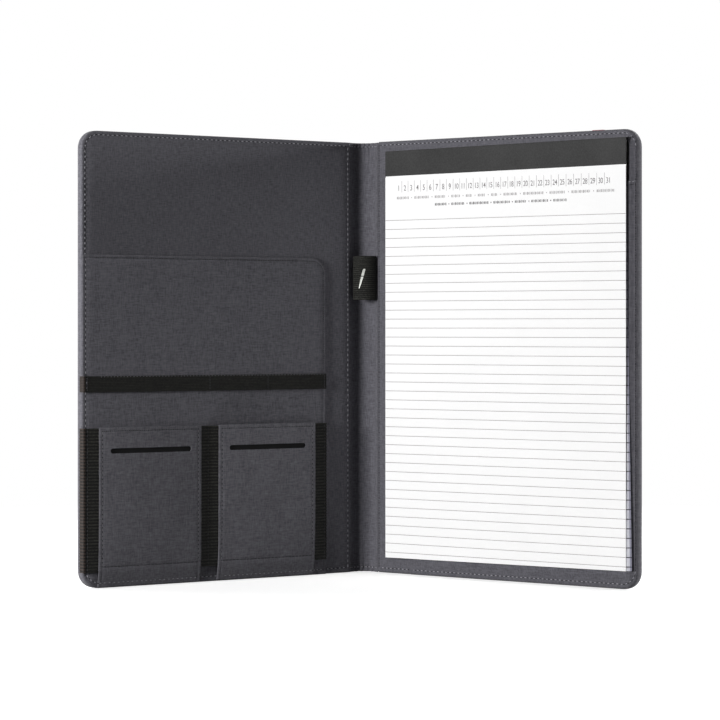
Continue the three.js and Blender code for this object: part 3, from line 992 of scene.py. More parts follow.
@dataclass
class PocketedCover(CoverCase):
    """The front cover: document panel, organiser band, gusset and two pockets."""

    panel_gutter: float = 22.35
    panel_height: float = 230.4
    panel_back: float = 0.6
    panel_face: float = 1.8
    panel_corner: float = 12.0
    panel_sink: float = 0.85
    front_roll: float = 1.2
    tape: float = 0.8
    cloth: float = 0.9
    organiser_low: float = 135.3
    organiser_width: float = 11.0
    organiser_seams: tuple[float, ...] = (24.35, 74.15, 123.75, 224.25)
    gusset_low: float = 11.0
    gusset_width: float = 99.4
    inner: PocketForm = field(default_factory=lambda: PocketForm(34.85, 2.2))
    outer_pocket: PocketForm = field(default_factory=lambda: PocketForm(132.55, 1.3))

    def face(self, u: float, z: float) -> float:
        """Level of the cloth that the edge seam goes through."""
        for pocket in (self.inner, self.outer_pocket):
            if pocket.covers(u, z):
                return pocket.back(u, z) + self.cloth
        if u < self.panel_gutter or z > self.panel_height:
            return 0.0
        if self.organiser_low < z < self.organiser_low + self.organiser_width:
            return self.panel_face + self.tape - 0.2
        return self.panel_face - self.sunk(u)

    def sunk(self, u: float) -> float:
        """How far the edge seam draws the panel down near the outer edge."""
        return self.panel_sink * (1 - eased((self.outer - u - 2.0) / 4.4))

    def build(self) -> None:
        """Make the cover and everything that is sewn to it."""
        super().build()
        self.document_panel()
        self.organiser_band()
        self.gusset_band()
        self.pocket_front("inner_pocket_front", "phone_pocket_inner", self.inner)
        self.pocket_front("outer_pocket_front", "phone_pocket_outer", self.outer_pocket)

    def document_panel(self) -> None:
        """Stiff panel with a turned hem along its top, two free edges and two sewn ones."""
        where = self.where
        low = where.at(self.panel_gutter, self.panel_face, 0.02)
        high = where.at(self.outer, self.panel_back, self.panel_height)
        panel = Bench.block("document_panel_cloth", tuple(low), tuple(high))
        gutter_x, outer_x = low.x, high.x
        front, middle = -self.panel_face, self.panel_height / 2
        Bench.round_edges(
            panel, lambda a, b: both_at(a, b, X, gutter_x) and min(a.z, b.z) > middle, self.panel_corner, 8)
        Bench.round_edges(
            panel, lambda a, b: both_at(a, b, X, outer_x) and max(a.z, b.z) < middle, self.corner, 10)
        Bench.round_edges(panel, lambda a, b: both_at(a, b, Y, front), 0.75, 4)
        Bench.press_groove(panel, FORWARD, [(0.9, 0.12), (0.5, -0.28), (0.5, 0.2), (4.0, 0.06)])

        def sink(p: Vector) -> Vector:
            if -p.y < self.panel_back + 0.3:
                return p
            return Vector((p.x, p.y + self.sunk(abs(p.x)), p.z))

        Bench.move(panel, sink)
        Bench.smooth(panel, 35)
        inset, hem_low = 2.2, 150
        radius, level = self.panel_corner - inset, self.panel_face
        centre = (self.panel_gutter + self.panel_corner, self.panel_height - self.panel_corner)
        hem = [where.at(u, level, self.panel_height - inset) for u in (self.outer - 4.5, centre[0])]
        for step in range(1, 9):
            a = math.radians(90 * step / 8)
            hem.append(where.at(centre[0] - radius * math.sin(a), level, centre[1] + radius * math.cos(a)))
        hem.append(where.at(self.panel_gutter + inset, level, hem_low))
        self.dress(panel, "fabric_lining", "lining_cloth", "document_panel")
        self.sew_seam("panel_hem", [hem], Stitching(3.0, 0.4, 0.7, 0.0), Row.DARK)

    def tape_strip(
        self, name: str, path: Callable[[float, float], tuple[Spot, Spot]],
        low: float, high: float, rows: int, steps: int, rib: float, pitch: float
    ) -> Piece:
        """A ribbed tape that follows a path round the panel.

        Args:
            name: The piece's name.
            path: The place and step, as u and n, of its outer face for a height and a share.
            low: Height of the tape's lower edge.
            high: Height of its upper edge.
            rows: Squares up the tape.
            steps: Squares along it.
            rib: How far each rib stands out.
            pitch: The ribs' pitch.

        Returns:
            The tape, with its thickness.
        """
        strip = Bench.cloth(name, (0.0, low), (1.0, high), (steps, rows))
        side = self.where.side.value

        def rule(p: Vector) -> Vector:
            (u, n), (du, dn) = path(p.z, crowded(p.x, 0.06, 0.28))
            wave = rib * (0.5 + 0.5 * math.cos(2 * math.pi * p.z / pitch)) / math.hypot(du, dn)
            return Vector((side * (u - dn * wave), -(n + du * wave), p.z))

        Bench.move(strip, rule)
        if side < 0:
            Bench.flip(strip)
        Bench.thicken(strip, self.tape * 0.7, even=False)
        return Bench.smooth(strip, 50)

    def upright_row(self, u: float, level: float, low: float, high: float) -> Path:
        """A seam's path straight up the cover."""
        return [self.where.at(u, level, z) for z in (low, high)]

    def organiser_band(self) -> None:
        """Narrow elastic that lies in shallow loops between its bar tacks."""
        face = self.panel_face + 0.3 + self.tape * 0.85
        profile = self.gutter_end(face)
        for start, end in zip(self.organiser_seams, self.organiser_seams[1:]):
            steps = 10
            profile += [(start + (end - start) * k / steps, face + 0.5 * math.sin(math.pi * k / steps) ** 2)
                        for k in range(steps)]
        picot = profile[3:]
        profile += self.rim_turn(face)
        top = self.organiser_low + self.organiser_width
        band = self.tape_strip("organiser_band_elastic", lambda z, share: spot_on(profile, share),
                               self.organiser_low, top, 66, 150, 0.12, KNIT_PITCH)
        self.dress(band, "elastic", "organiser_elastic", "organiser_band")
        tacks = [self.upright_row(u, face + 0.15, self.organiser_low + 0.5, top - 0.5)
                 for u in self.organiser_seams]
        self.sew_seam("organiser_tacks", tacks, Stitching(1.9, 0.5, 0.75, 0.05), Row.DARK)
        edge = [self.where.at(u, level, top - 0.45) for u, level in picot]
        self.sew_seam("organiser_picot", [edge], Stitching(2.6, 0.42, 0.36, 0.08), Row.MIXED)

    def gutter_end(self, level: float) -> Profile:
        """The tape's way round the panel's gutter edge."""
        near = self.panel_gutter + 0.1
        return [(near, self.panel_back + 0.1), (near, level - 0.4), (near + 0.4, level)]

    def rim_turn(self, level: float) -> Profile:
        """The tape's way into the edge seam's groove, then over the outer edge between lining and shell."""
        groove = self.outer - self.seam_inset
        edge = self.outer + 0.1
        return [(groove - 1.0, level), (groove - 0.3, level - 0.5), (groove + 0.3, level - 0.5),
                (groove + 1.0, level - 0.02), (edge - 0.7, level), (edge - 0.3, level - 0.12),
                (edge, level - 0.5), (edge, self.seam + 0.1)]

    @property
    def middle_seam(self) -> float:
        """u of the seam that draws the gusset down between the pockets."""
        return self.inner.start + self.inner.width + 7.1

    def gusset_profile(self, z: float) -> Profile:
        """The gusset's outer face at a height, from the panel's gutter edge outwards."""
        lift = self.inner.lift(z)
        base = self.inner.base + self.tape * 0.85
        profile = [*self.gutter_end(base), (self.panel_gutter + 2.5, base)]
        for pocket in (self.inner, self.outer_pocket):
            for k in range(13):
                share = k / 12
                profile.append((pocket.start + share * pocket.width, base + lift * pocket.bow(share)))
            if pocket is self.inner:
                profile.append((self.middle_seam, base))
        return profile + self.rim_turn(base)

    def gusset_band(self) -> None:
        """Wide ribbed elastic behind both pockets, drawn down to the panel between them."""
        known: dict[float, Profile] = {}

        def path(z: float, share: float) -> tuple[Spot, Spot]:
            key = round(z, 3)
            if key not in known:
                known[key] = self.gusset_profile(z)
            return spot_on(known[key], share)

        top = self.gusset_low + self.gusset_width
        band = self.tape_strip("pocket_elastic", path, self.gusset_low, top, 270, 150, 0.34, GUSSET_PITCH)
        self.dress(band, "elastic", "gusset_elastic", "pocket_gusset")
        level = self.inner.base + self.tape + 0.12
        rows = [self.upright_row(u, level, self.gusset_low + 0.6, top - 0.6)
                for u in (self.panel_gutter + 2.0, self.middle_seam, self.organiser_seams[-1])]
        self.sew_seam("gusset_seams", rows, Stitching(3.0, 0.5, 0.62, 0.02), Row.DARK)

    def pocket_level(self, form: PocketForm, u: float, z: float) -> float:
        """Level of a pocket front's face: puffed between its seams, and drawn down along them."""
        rim = min(u - form.start, form.start + form.width - u, form.top - z)
        puff = 0.2 * min(max(rim, 0.0), 1.0) - 0.2 * ridge(rim, form.hem, 0.8)
        pull = 0.3 * ridge(z, form.base_seam, 0.9)
        sag = 0.1 * math.sin(u * 0.19 + form.start) * math.sin(z * 0.071)
        return form.back(u, z) + self.cloth - 0.05 + puff - pull + sag

    def slit_shadow_sheet(self, name: str, form: PocketForm) -> None:
        """A dark sheet just behind the card slit, which is all that shows through it: painted shade of the
        pocket's inside.
        """
        side = self.where.side.value
        middle, half, reach = side * form.middle, 35.5, 3.6
        low, high = (middle - half, form.slit - reach), (middle + half, form.slit + reach)
        strip = Bench.cloth(name, low, high, (48, 6))
        Bench.move(strip, lambda p: Vector((p.x, -(form.back(side * p.x, p.z) + 0.05), p.z)))
        Bench.thicken(strip, 0.04)
        self.dress(Bench.smooth(strip, 60), "fabric_lining", "slit_shadow_cloth")

    def pocket_front(self, name: str, node: str, form: PocketForm) -> None:
        """Cloth front with a turned edge, a row of stitches round it and a die-cut card slit."""
        side = self.where.side.value
        x0, x1 = sorted((side * form.start, side * (form.start + form.width)))
        front = Bench.cloth(name, (x0, form.low), (x1, form.top), (124, 164))
        Bench.move(front, lambda p: Vector((p.x, -self.pocket_level(form, side * p.x, p.z), p.z)))
        Bench.thicken(front, self.cloth * 0.85)
        middle, half, tall = side * form.middle, 33, 1.8
        cutter = Bench.block(f"{name}_slit", (middle - half, -12, form.slit - tall),
                             (middle + half, 1.9, form.slit + tall))
        Bench.round_edges(cutter, lambda a, b: abs(a.x - b.x) < NEAR and abs(a.z - b.z) < NEAR, 1.6, 6)
        Bench.cut(front, cutter)
        Bench.smooth(front, 40)

        def on(u: float, z: float) -> Vector:
            return self.where.at(u, self.pocket_level(form, u, z) + 0.04, z)

        def run(start: Spot, end: Spot, count: int) -> Path:
            return [on(*(s + (e - s) * k / count for s, e in zip(start, end))) for k in range(count + 1)]

        a, b = form.start + form.hem, form.start + form.width - form.hem
        top, low = form.top - form.hem, form.base_seam
        sides = [run((b, top), (b, low), 60), run((a, low), (a, top), 60)]
        # The pocket front wears the lining cloth painted lighter, as painted light.
        self.dress(front, "fabric_lining", "pocket_lit_cloth", node)
        # The dark sheet behind the slit is painted shade.
        self.slit_shadow_sheet(f"{name}_slit_lining", form)
        self.sew_seam(f"{name}_side_seams", sides, Stitching(3.0, 0.42, 0.5, 0.02), Row.MIXED)
        self.sew_seam(f"{name}_mouth_seam", [run((a, top), (b, top), 40)], Stitching(3.0, 0.45, 0.62, 0.02),
                  Row.DARK)
        self.sew_seam(f"{name}_base_seam", [run((b, low), (a, low), 40)], Stitching(3.0, 0.7, 0.98, 0.02),
                  Row.DARK)


@dataclass
class PadCover(CoverCase):
    """The back cover: a padded border, the sleeve for the pad's card and the closure band outside."""

    height: float = 316.5
    outer: float = 227.7
    front_roll: float = 2.4
    back_roll: float = 0.9
    seam_inset: float = 1.3
    gutter_row: Row = Row.DARK
    side_row: Row = Row.DARK
    sleeve_gutter: float = 30.35
    sleeve_top: float = 281.1
    sleeve_slope: float = math.tan(math.radians(8))
    sleeve_face: float = 3.05
    sleeve_hem: float = 0.9
    hem_stitch: float = 2.6
    border_low: float = 0.4
    border_gutter: float = 222.0
    swell_from: float = 1.6
    side_swell: float = 4.0
    foot_swell: float = 11.0
    closure: tuple[float, float] = (186.35, 196.95)
    tab_near: float = 187.9

    def hem_top(self, u: float) -> float:
        """Height of the sleeve's sloping top edge."""
        return self.sleeve_top - self.sleeve_slope * (self.outer - u)

    def rim(self, u: float, z: float) -> float:
        """Distance from the cover's outline, round its two outer corners."""
        across = u - (self.outer - self.corner)
        up = max(z - (self.height - self.corner), self.corner - z)
        if across > 0 and up > 0:
            return self.corner - math.hypot(across, up)
        return min(self.outer - u, z, self.height - z)

    def drop(self, rim: float) -> float:
        """How far the rolled edge has fallen back at a distance from the outline."""
        reach = min(max(self.front_roll - rim, 0.0), self.front_roll)
        return self.front_roll - math.sqrt(self.front_roll**2 - reach**2)

    def swell(self, side_rim: float, foot_rim: float, head_rim: float) -> float:
        """How far the padded border has swelled, by the distances from the three sewn edges."""
        shares = ((side_rim - self.swell_from) / self.side_swell,
                  (foot_rim - self.swell_from) / self.foot_swell,
                  (head_rim - self.swell_from) / self.side_swell)
        return (self.sleeve_face - self.sleeve_hem) * eased(min(shares))

    def cloth_level(self, u: float, z: float, rim: float, laid: float) -> float:
        """Level of the cloth on the padded border, where laid is its own level at the seam."""
        side = rim if u > self.outer - self.corner else self.outer - u
        return laid - self.drop(rim) + self.swell(side, z, self.height - z)

    def face(self, u: float, z: float) -> float:
        """Level of the cloth that the edge seam goes through."""
        rim = self.rim(u, z)
        if u > self.sleeve_gutter and z < self.hem_top(u):
            return self.cloth_level(u, z, rim, self.sleeve_hem)
        if u > self.border_gutter:
            return self.cloth_level(u, z, rim, self.border_low)
        return -self.drop(rim)

    def build(self) -> None:
        """Make the cover, its padded border, its sleeve and its closure band."""
        super().build()
        self.border()
        self.sleeve()
        self.closure_band()

    def rounded(self, u: float, z: float) -> tuple[float, float, float]:
        """Bend a square sheet's outer corners to the cover's outline.

        Args:
            u: Place across, in a sheet with square corners.
            z: Height in it.

        Returns:
            The place on the cover and its distance from the outline.
        """
        dx = u - (self.outer - self.corner)
        low, high = self.corner, self.height - self.corner
        dz = z - high if z > high else min(z - low, 0.0)
        if dx > 0 and dz:
            reach, edge = math.hypot(dx, dz), max(abs(dx), abs(dz))
            z = (high if dz > 0 else low) + dz * edge / reach
            return self.outer - self.corner + dx * edge / reach, z, self.corner - edge
        return u, z, min(self.outer - u, z, self.height - z)

    def border(self) -> None:
        """The lining's padded outer border, which swells up beside the pad."""
        width = self.outer - self.border_gutter
        cloth = Bench.cloth("back_border_cloth", (0.0, 0.0), (1.0, 1.0), (30, 320))

        def rule(p: Vector) -> Vector:
            u, z, rim = self.rounded(self.border_gutter + width * p.x, 0.1 + (self.height - 0.2) * p.z)
            level = self.cloth_level(u, z, rim, self.border_low)
            tucked = 1 - eased(p.x / 0.06)
            return Vector((u, -(level * (1 - tucked) - 0.3 * tucked), z))

        Bench.move(cloth, rule)
        Bench.thicken(cloth, 0.3, even=False)
        self.dress(Bench.smooth(cloth, 50), "fabric_lining", "lining_cloth")

    def sleeve(self) -> None:
        """Cloth sleeve with a turned top hem that climbs to the outer edge."""
        cloth = Bench.cloth("pad_sleeve_cloth", (self.sleeve_gutter, 0.0), (self.outer, 1.0), (160, 260))
        width = self.outer - self.sleeve_gutter

        def fold(u: float, inset: float) -> float:
            lift = 0.3 * ridge(inset, 1.0, 0.9) - 0.2 * ridge(inset, self.hem_stitch, 0.5)
            return lift * (1 - eased((self.outer - u - 4.0) / 1.6))

        def rule(p: Vector) -> Vector:
            u = self.sleeve_gutter + width * crowded((p.x - self.sleeve_gutter) / width, 0.06, 0.35)
            z = 0.05 + (1 - crowded(1 - p.z, 0.06, 0.2)) * self.hem_top(u)
            u, z, rim = self.rounded(u, z)
            level = self.cloth_level(u, z, rim, self.sleeve_hem) + fold(u, self.hem_top(u) - z)
            return Vector((u, -level, z))

        Bench.move(cloth, rule)
        Bench.thicken(cloth, 0.45, even=False)
        Bench.smooth(cloth, 50)

        def under_hem(inset: float, start: float) -> Path:
            spots = [(u, self.hem_top(u) - inset) for u in np.linspace(start, self.outer - 1.4, 120)]
            return [self.where.at(u, self.face(u, z) + fold(u, inset), z) for u, z in spots]

        self.dress(cloth, "fabric_lining", "lining_cloth", "pad_sleeve")
        hem = under_hem(self.hem_stitch, self.sleeve_gutter + 3)
        # The light row under the hem's top stands for light stitches and for the fold's top edge catching
        # the light: partly a painted highlight.
        edge = under_hem(0.7, self.border_gutter + 0.3)
        self.sew_seam("sleeve_hem", [hem], Stitching(3.0, 0.45, 0.66, 0.02), Row.DARK)
        self.sew_seam("sleeve_fold", [edge], Stitching(2.4, 0.5, 0.9, 0.3), Row.LIGHT)

    def closure_band(self) -> None:
        """Elastic band down the outside, its ends turned in under the edge, and the small red tab."""
        near, far = self.closure
        band = Bench.cloth("closure_elastic", (near, 0.0), (far, 1.0), (24, 200))
        top, low = self.height - 0.15, 0.15
        out, into = -self.back + 1.0, 3.3
        turn = 0.3
        run = [(into, low), (out - turn, low), (out, low + turn),
               (out, top - turn), (out - turn, top), (into, top)]

        def rule(p: Vector) -> Vector:
            (y, z), _ = spot_on(run, p.z)
            rib = 0.12 * math.cos(2 * math.pi * p.x / RIB_PITCH)
            return Vector((p.x, y + (rib if low + 1 < z < top - 1 else 0.0), z))

        Bench.move(band, rule)
        Bench.flip(band)
        Bench.thicken(band, 0.75)
        Bench.smooth(band, 50)
        self.dress(band, "elastic", "closure_elastic", "closure_band")
        near, top, under, proud = self.tab_near, self.height, 3.4, 7.95
        tab = [Bench.block("closure_end_tape", (near, proud - 0.5, top - 7), (far, proud, top + 0.4)),
               Bench.block("closure_end_fold", (near, under, top + 0.02), (far, proud - 0.05, top + 0.42))]
        tape = Bench.join("closure_end_tape", tab)
        Bench.round_edges(tape, lambda a, b: True, 0.16, 2)
        self.dress(Bench.smooth(tape, 50), "red_tape", "red_tape", "closure_tab")


@dataclass(frozen=True)
class WordRow:
    """A printed row whose words are groups of plain dashes, with a dot between them."""

    name: str
    recipe: str
    widths: tuple[float, ...]
    start: float
    span: float
    level: float
    height: float
    dot: tuple[float, float, float]


@dataclass
class WritingPad(Maker):
    """A4 pad: loose-edged sheets under a dark head tape, with a printed and ruled first leaf."""

    where: FoldedCover
    gutter: float = 11.85
    outer: float = 221.85
    low: float = 12.3
    top: float = 309.3
    card: tuple[float, float] = (0.9, 1.7)
    glue: tuple[float, float] = (2.0, 2.9)
    glue_low: float = 281.6
    stack_back: float = 3.2
    stack_face: float = 5.2
    leaf_face: float = 5.7
    tape_back: float = 0.6
    tape_face: float = 5.8
    tape_low: float = 291.8
    tape_top: float = 310.5
    leaf_head: float = 291.0
    left_drop: float = 1.85
    hem_drop: float = 1.5
    foot_rise: float = 0.8
    foot_drop: float = 0.3
    sheets: int = 20
    card_recess: float = 3.2
    head_recess: float = 1.8
    foot_fan: float = 3.4
    rules: int = 38
    rule_pitch: float = 6.54
    first_rule: float = 258.0
    rule_half: float = 0.23
    rule_inset: float = 0.15
    numbers: int = 31
    number_steps: tuple[float, float, float] = (12.4, 5.72, 0.013)
    number_level: float = 279.4
    split: tuple[float, float] = (278.2, 286.6)
    word_rows: tuple[WordRow, ...] = (
        WordRow("month_row", "month_ink",
                (11.0, 13.5, 9.8, 8.0, 5.6, 6.6, 5.8, 12.0, 17.5, 13.5, 16.0, 15.0),
                10.8, 190.2, 274.2, 2.0, (0.35, 273.9, 274.6)),
        WordRow("weekday_row", "bold_ink", (10.5, 12.0, 17.0, 14.5, 10.0, 14.5, 11.5),
                45.6, 115.4, 268.7, 1.9, (0.4, 268.3, 269.1)),
    )

    @property
    def body(self) -> str:
        """The CAD body that the pad is."""
        return "writing_pad"

    def build(self) -> None:
        """Make the card, the glued head, the stack, the first leaf with its print, and the tape."""
        self.backing()
        self.stack()
        self.first_leaf()
        self.head_tape()
        self.print_on("first_leaf", "top_leaf", self.leaf_face, True)
        self.print_on("next_sheet", "writing_pad", self.stack_face, False)

    def left_share(self, u: float) -> float:
        """How near a place is to the pad's gutter edge, from 0 at the outer edge to 1."""
        return (self.outer - u) / (self.outer - self.gutter)

    def skewed(
        self, name: str, back: float, face: float, low: float, head_u: float, foot_u: float
    ) -> Piece:
        """A sheet whose head slopes down to the gutter and whose outer edge may lean.

        Args:
            name: The sheet's name.
            back: Its level n at the back.
            face: Its level n at the front.
            low: Height of its foot.
            head_u: u of its outer edge at the head.
            foot_u: The same at the foot.

        Returns:
            The sheet.
        """
        sheet = Bench.block(name, (self.gutter, -face, low), (self.outer, -back, self.top))
        for vertex in sheet.data.vertices:
            at_head = vertex.co.z > low + 1
            at_outer = vertex.co.x > self.gutter + 1
            if at_outer:
                vertex.co.x = head_u if at_head else foot_u
            if at_head and not at_outer:
                vertex.co.z -= self.left_drop
            if not at_head:
                vertex.co.z += self.foot_rise if at_outer else -self.foot_drop
        return sheet

    def foot(self, u: float) -> float:
        """Height of the sheets' foot, which rises a little to the outer edge."""
        return self.low + self.foot_rise - (self.foot_rise + self.foot_drop) * self.left_share(u)

    def backing(self) -> None:
        """The grey card at the back, and the glue that holds the sheets' heads to it."""
        edge = self.outer - self.card_recess
        card = self.skewed("pad_backing_card", *self.card, self.low, edge, edge)
        glue = self.skewed("pad_head_glue", *self.glue, self.glue_low, edge + 0.4, edge + 0.4)
        layers = ((card, "grey_card", "pad_card", 0.12), (glue, "glue", "pad_glue_strip", 0.3))
        for piece, slot, node, bevel in layers:
            Bench.round_edges(piece, lambda a, b: True, bevel, 2)
            self.dress(Bench.smooth(piece), slot, slot, node)

    def stack(self) -> None:
        """Sheets that lie back at the head and fan out to the foot, under one that lies true."""
        leaves = []
        step = (self.stack_face - self.stack_back) / self.sheets
        rng = random.Random(4)
        for k in range(self.sheets - 1):
            n = self.stack_back + k * step
            depth = 1 - k / (self.sheets - 1)
            recess = self.head_recess * min(depth * 5, 1.0) + rng.uniform(-0.1, 0.1)
            slide = self.foot_fan * depth + rng.uniform(-0.12, 0.12)
            foot = self.low + rng.uniform(0.02, 0.3)
            leaves.append(self.skewed(f"sheet_{k}", n, n + step * 0.97, foot,
                                      self.outer - recess, self.outer + slide))
        stack = Bench.join("paper_stack", leaves)
        self.dress(stack, "paper", "paper_stack", "ruled_sheets")
        under = self.skewed("next_sheet_paper", self.stack_face - step, self.stack_face, self.low,
                            self.outer, self.outer)
        Bench.round_edges(under, lambda a, b: abs(a.z - b.z) > 1 and abs(a.x - b.x) < 1, 0.04, 2)
        self.dress(under, "paper", "paper")

    def head_tape(self) -> None:
        """Dark tape folded over the pad's head with soft folds, a little lower at the gutter."""
        strip = Bench.cloth("head_tape_fold", (self.gutter, 0.0), (self.outer, 1.0), (60, 60))
        radius = 0.8
        crown = self.tape_top - radius
        profile = [(self.tape_back, self.tape_low)]
        for centre, first in ((self.tape_back + radius, 180), (self.tape_face - radius, 90)):
            for step in range(7):
                a = math.radians(first - 15 * step)
                profile.append((centre + radius * math.cos(a), crown + radius * math.sin(a)))
        profile.append((self.tape_face, self.tape_low))

        def rule(p: Vector) -> Vector:
            (n, z), _ = spot_on(profile, p.z)
            up = (z - self.tape_low) / (self.tape_top - self.tape_low)
            drop = (self.hem_drop + (self.left_drop - self.hem_drop) * up) * self.left_share(p.x)
            return Vector((p.x, -n, z - drop))

        Bench.move(strip, rule)
        Bench.flip(strip)
        Bench.thicken(strip, 0.25)
        Bench.smooth(strip, 50)
        self.dress(strip, "head_tape", "head_tape", "head_tape")

    def first_leaf(self) -> None:
        """The first leaf, from under the tape's hem to a foot that rises to the outer edge."""
        leaf = Bench.cloth("first_leaf", (self.gutter, 0.0), (self.outer, 1.0), (40, 80))

        def rule(p: Vector) -> Vector:
            head = self.leaf_head - self.hem_drop * self.left_share(p.x)
            foot = self.foot(p.x)
            return Vector((p.x, -self.leaf_face + 0.02, foot + (head - foot) * p.z))

        Bench.move(leaf, rule)
        Bench.thicken(leaf, 0.14)
        self.dress(leaf, "paper", "paper", "top_leaf", body="top_leaf")

    def bar(self, name: str, low_u: float, high_u: float, low_z: float, high_z: float, n: float) -> Piece:
        """A thin flat bar of ink."""
        return Bench.block(name, (low_u, -(n + 0.03), low_z), (high_u, -n, high_z))

    def print_on(self, prefix: str, body: str, face: float, numbered: bool) -> None:
        """Rule a sheet, and print its head with plain numbers and two rows of dashes."""
        rules = []
        for k in range(self.rules):
            z = self.first_rule - k * self.rule_pitch
            low, high = z - self.rule_half, z + self.rule_half
            rules.append(self.bar(f"rule_{k}", self.gutter + self.rule_inset, self.outer - self.rule_inset,
                                  low, high, face))
        ruled = Bench.join(f"{prefix}_rules", rules)
        self.dress(ruled, "paper", "rule_ink", body=body)
        if not numbered:
            return
        ink = []
        for k in range(self.numbers):
            u, after = self.number_place(k), self.number_place(k + 1)
            ink.append(self.numeral(str(k + 1), u, self.number_level, 4.1 if k < 9 else 3.9, face))
            if k + 1 < self.numbers:
                split = (u + after) / 2
                ink.append(self.bar(f"split_{k}", split - 0.11, split + 0.11, *self.split, face))
        printed = [("number_row", "text_ink", ink)]
        printed += [(row.name, row.recipe, self.words(row, face)) for row in self.word_rows]
        for name, recipe, parts in printed:
            self.dress(Bench.join(f"{prefix}_{name}", parts), "paper", recipe, body=body)

    def words(self, row: WordRow, face: float) -> list[Piece]:
        """Print a row's dashes and dots, one after the other."""
        half, dot_low, dot_high = row.dot
        at = self.gutter + row.start
        gap = (row.span - sum(row.widths)) / (len(row.widths) - 1)
        parts = []
        for k, width in enumerate(row.widths):
            parts.extend(self.dashes(f"{row.name}_word_{k}", at, width, row.level, row.height, face))
            if k + 1 < len(row.widths):
                dot = at + width + gap / 2
                name = f"{row.name}_dot_{k}"
                parts.append(self.bar(name, dot - half, dot + half, dot_low, dot_high, face))
            at += width + gap
        return parts

    def number_place(self, k: int) -> float:
        """u of a number in the top row, whose gaps widen a little to the right."""
        start, step, widening = self.number_steps
        return self.gutter + start + step * k + widening * k * k

    def dashes(
        self, name: str, start: float, width: float, z: float, height: float, face: float
    ) -> list[Piece]:
        """A word's place as short upright strokes, which say nothing."""
        pitch = 1.05
        count = max(2, int(width / pitch))
        parts = []
        for k in range(count):
            u = start + k * width / count
            wide = 0.5 if k % 3 else 0.8
            tall = height if k % 2 else height * 0.85
            parts.append(self.bar(f"{name}_{k}", u, u + wide, z - tall / 2, z + tall / 2, face))
        return parts

    def numeral(self, text: str, u: float, z: float, height: float, face: float) -> Piece:
        """A plain number from Blender's own font, as a thin flat mesh."""
        bpy.ops.object.select_all(action="DESELECT")
        bpy.ops.object.text_add(location=(u, -(face + 0.02), z), rotation=(math.pi / 2, 0, 0))
        number = bpy.context.object
        number.data.body = text
        number.data.align_x = "CENTER"
        number.data.size = height * 1.4
        number.data.extrude = 0.01
        number.data.offset = 0.015
        number.data.space_character = 0.92
        number.scale = (0.78, 1.0, 1.0)
        Bench.take(number)
        bpy.ops.object.convert(target="MESH")
        return Bench.named(f"numeral_{text}")


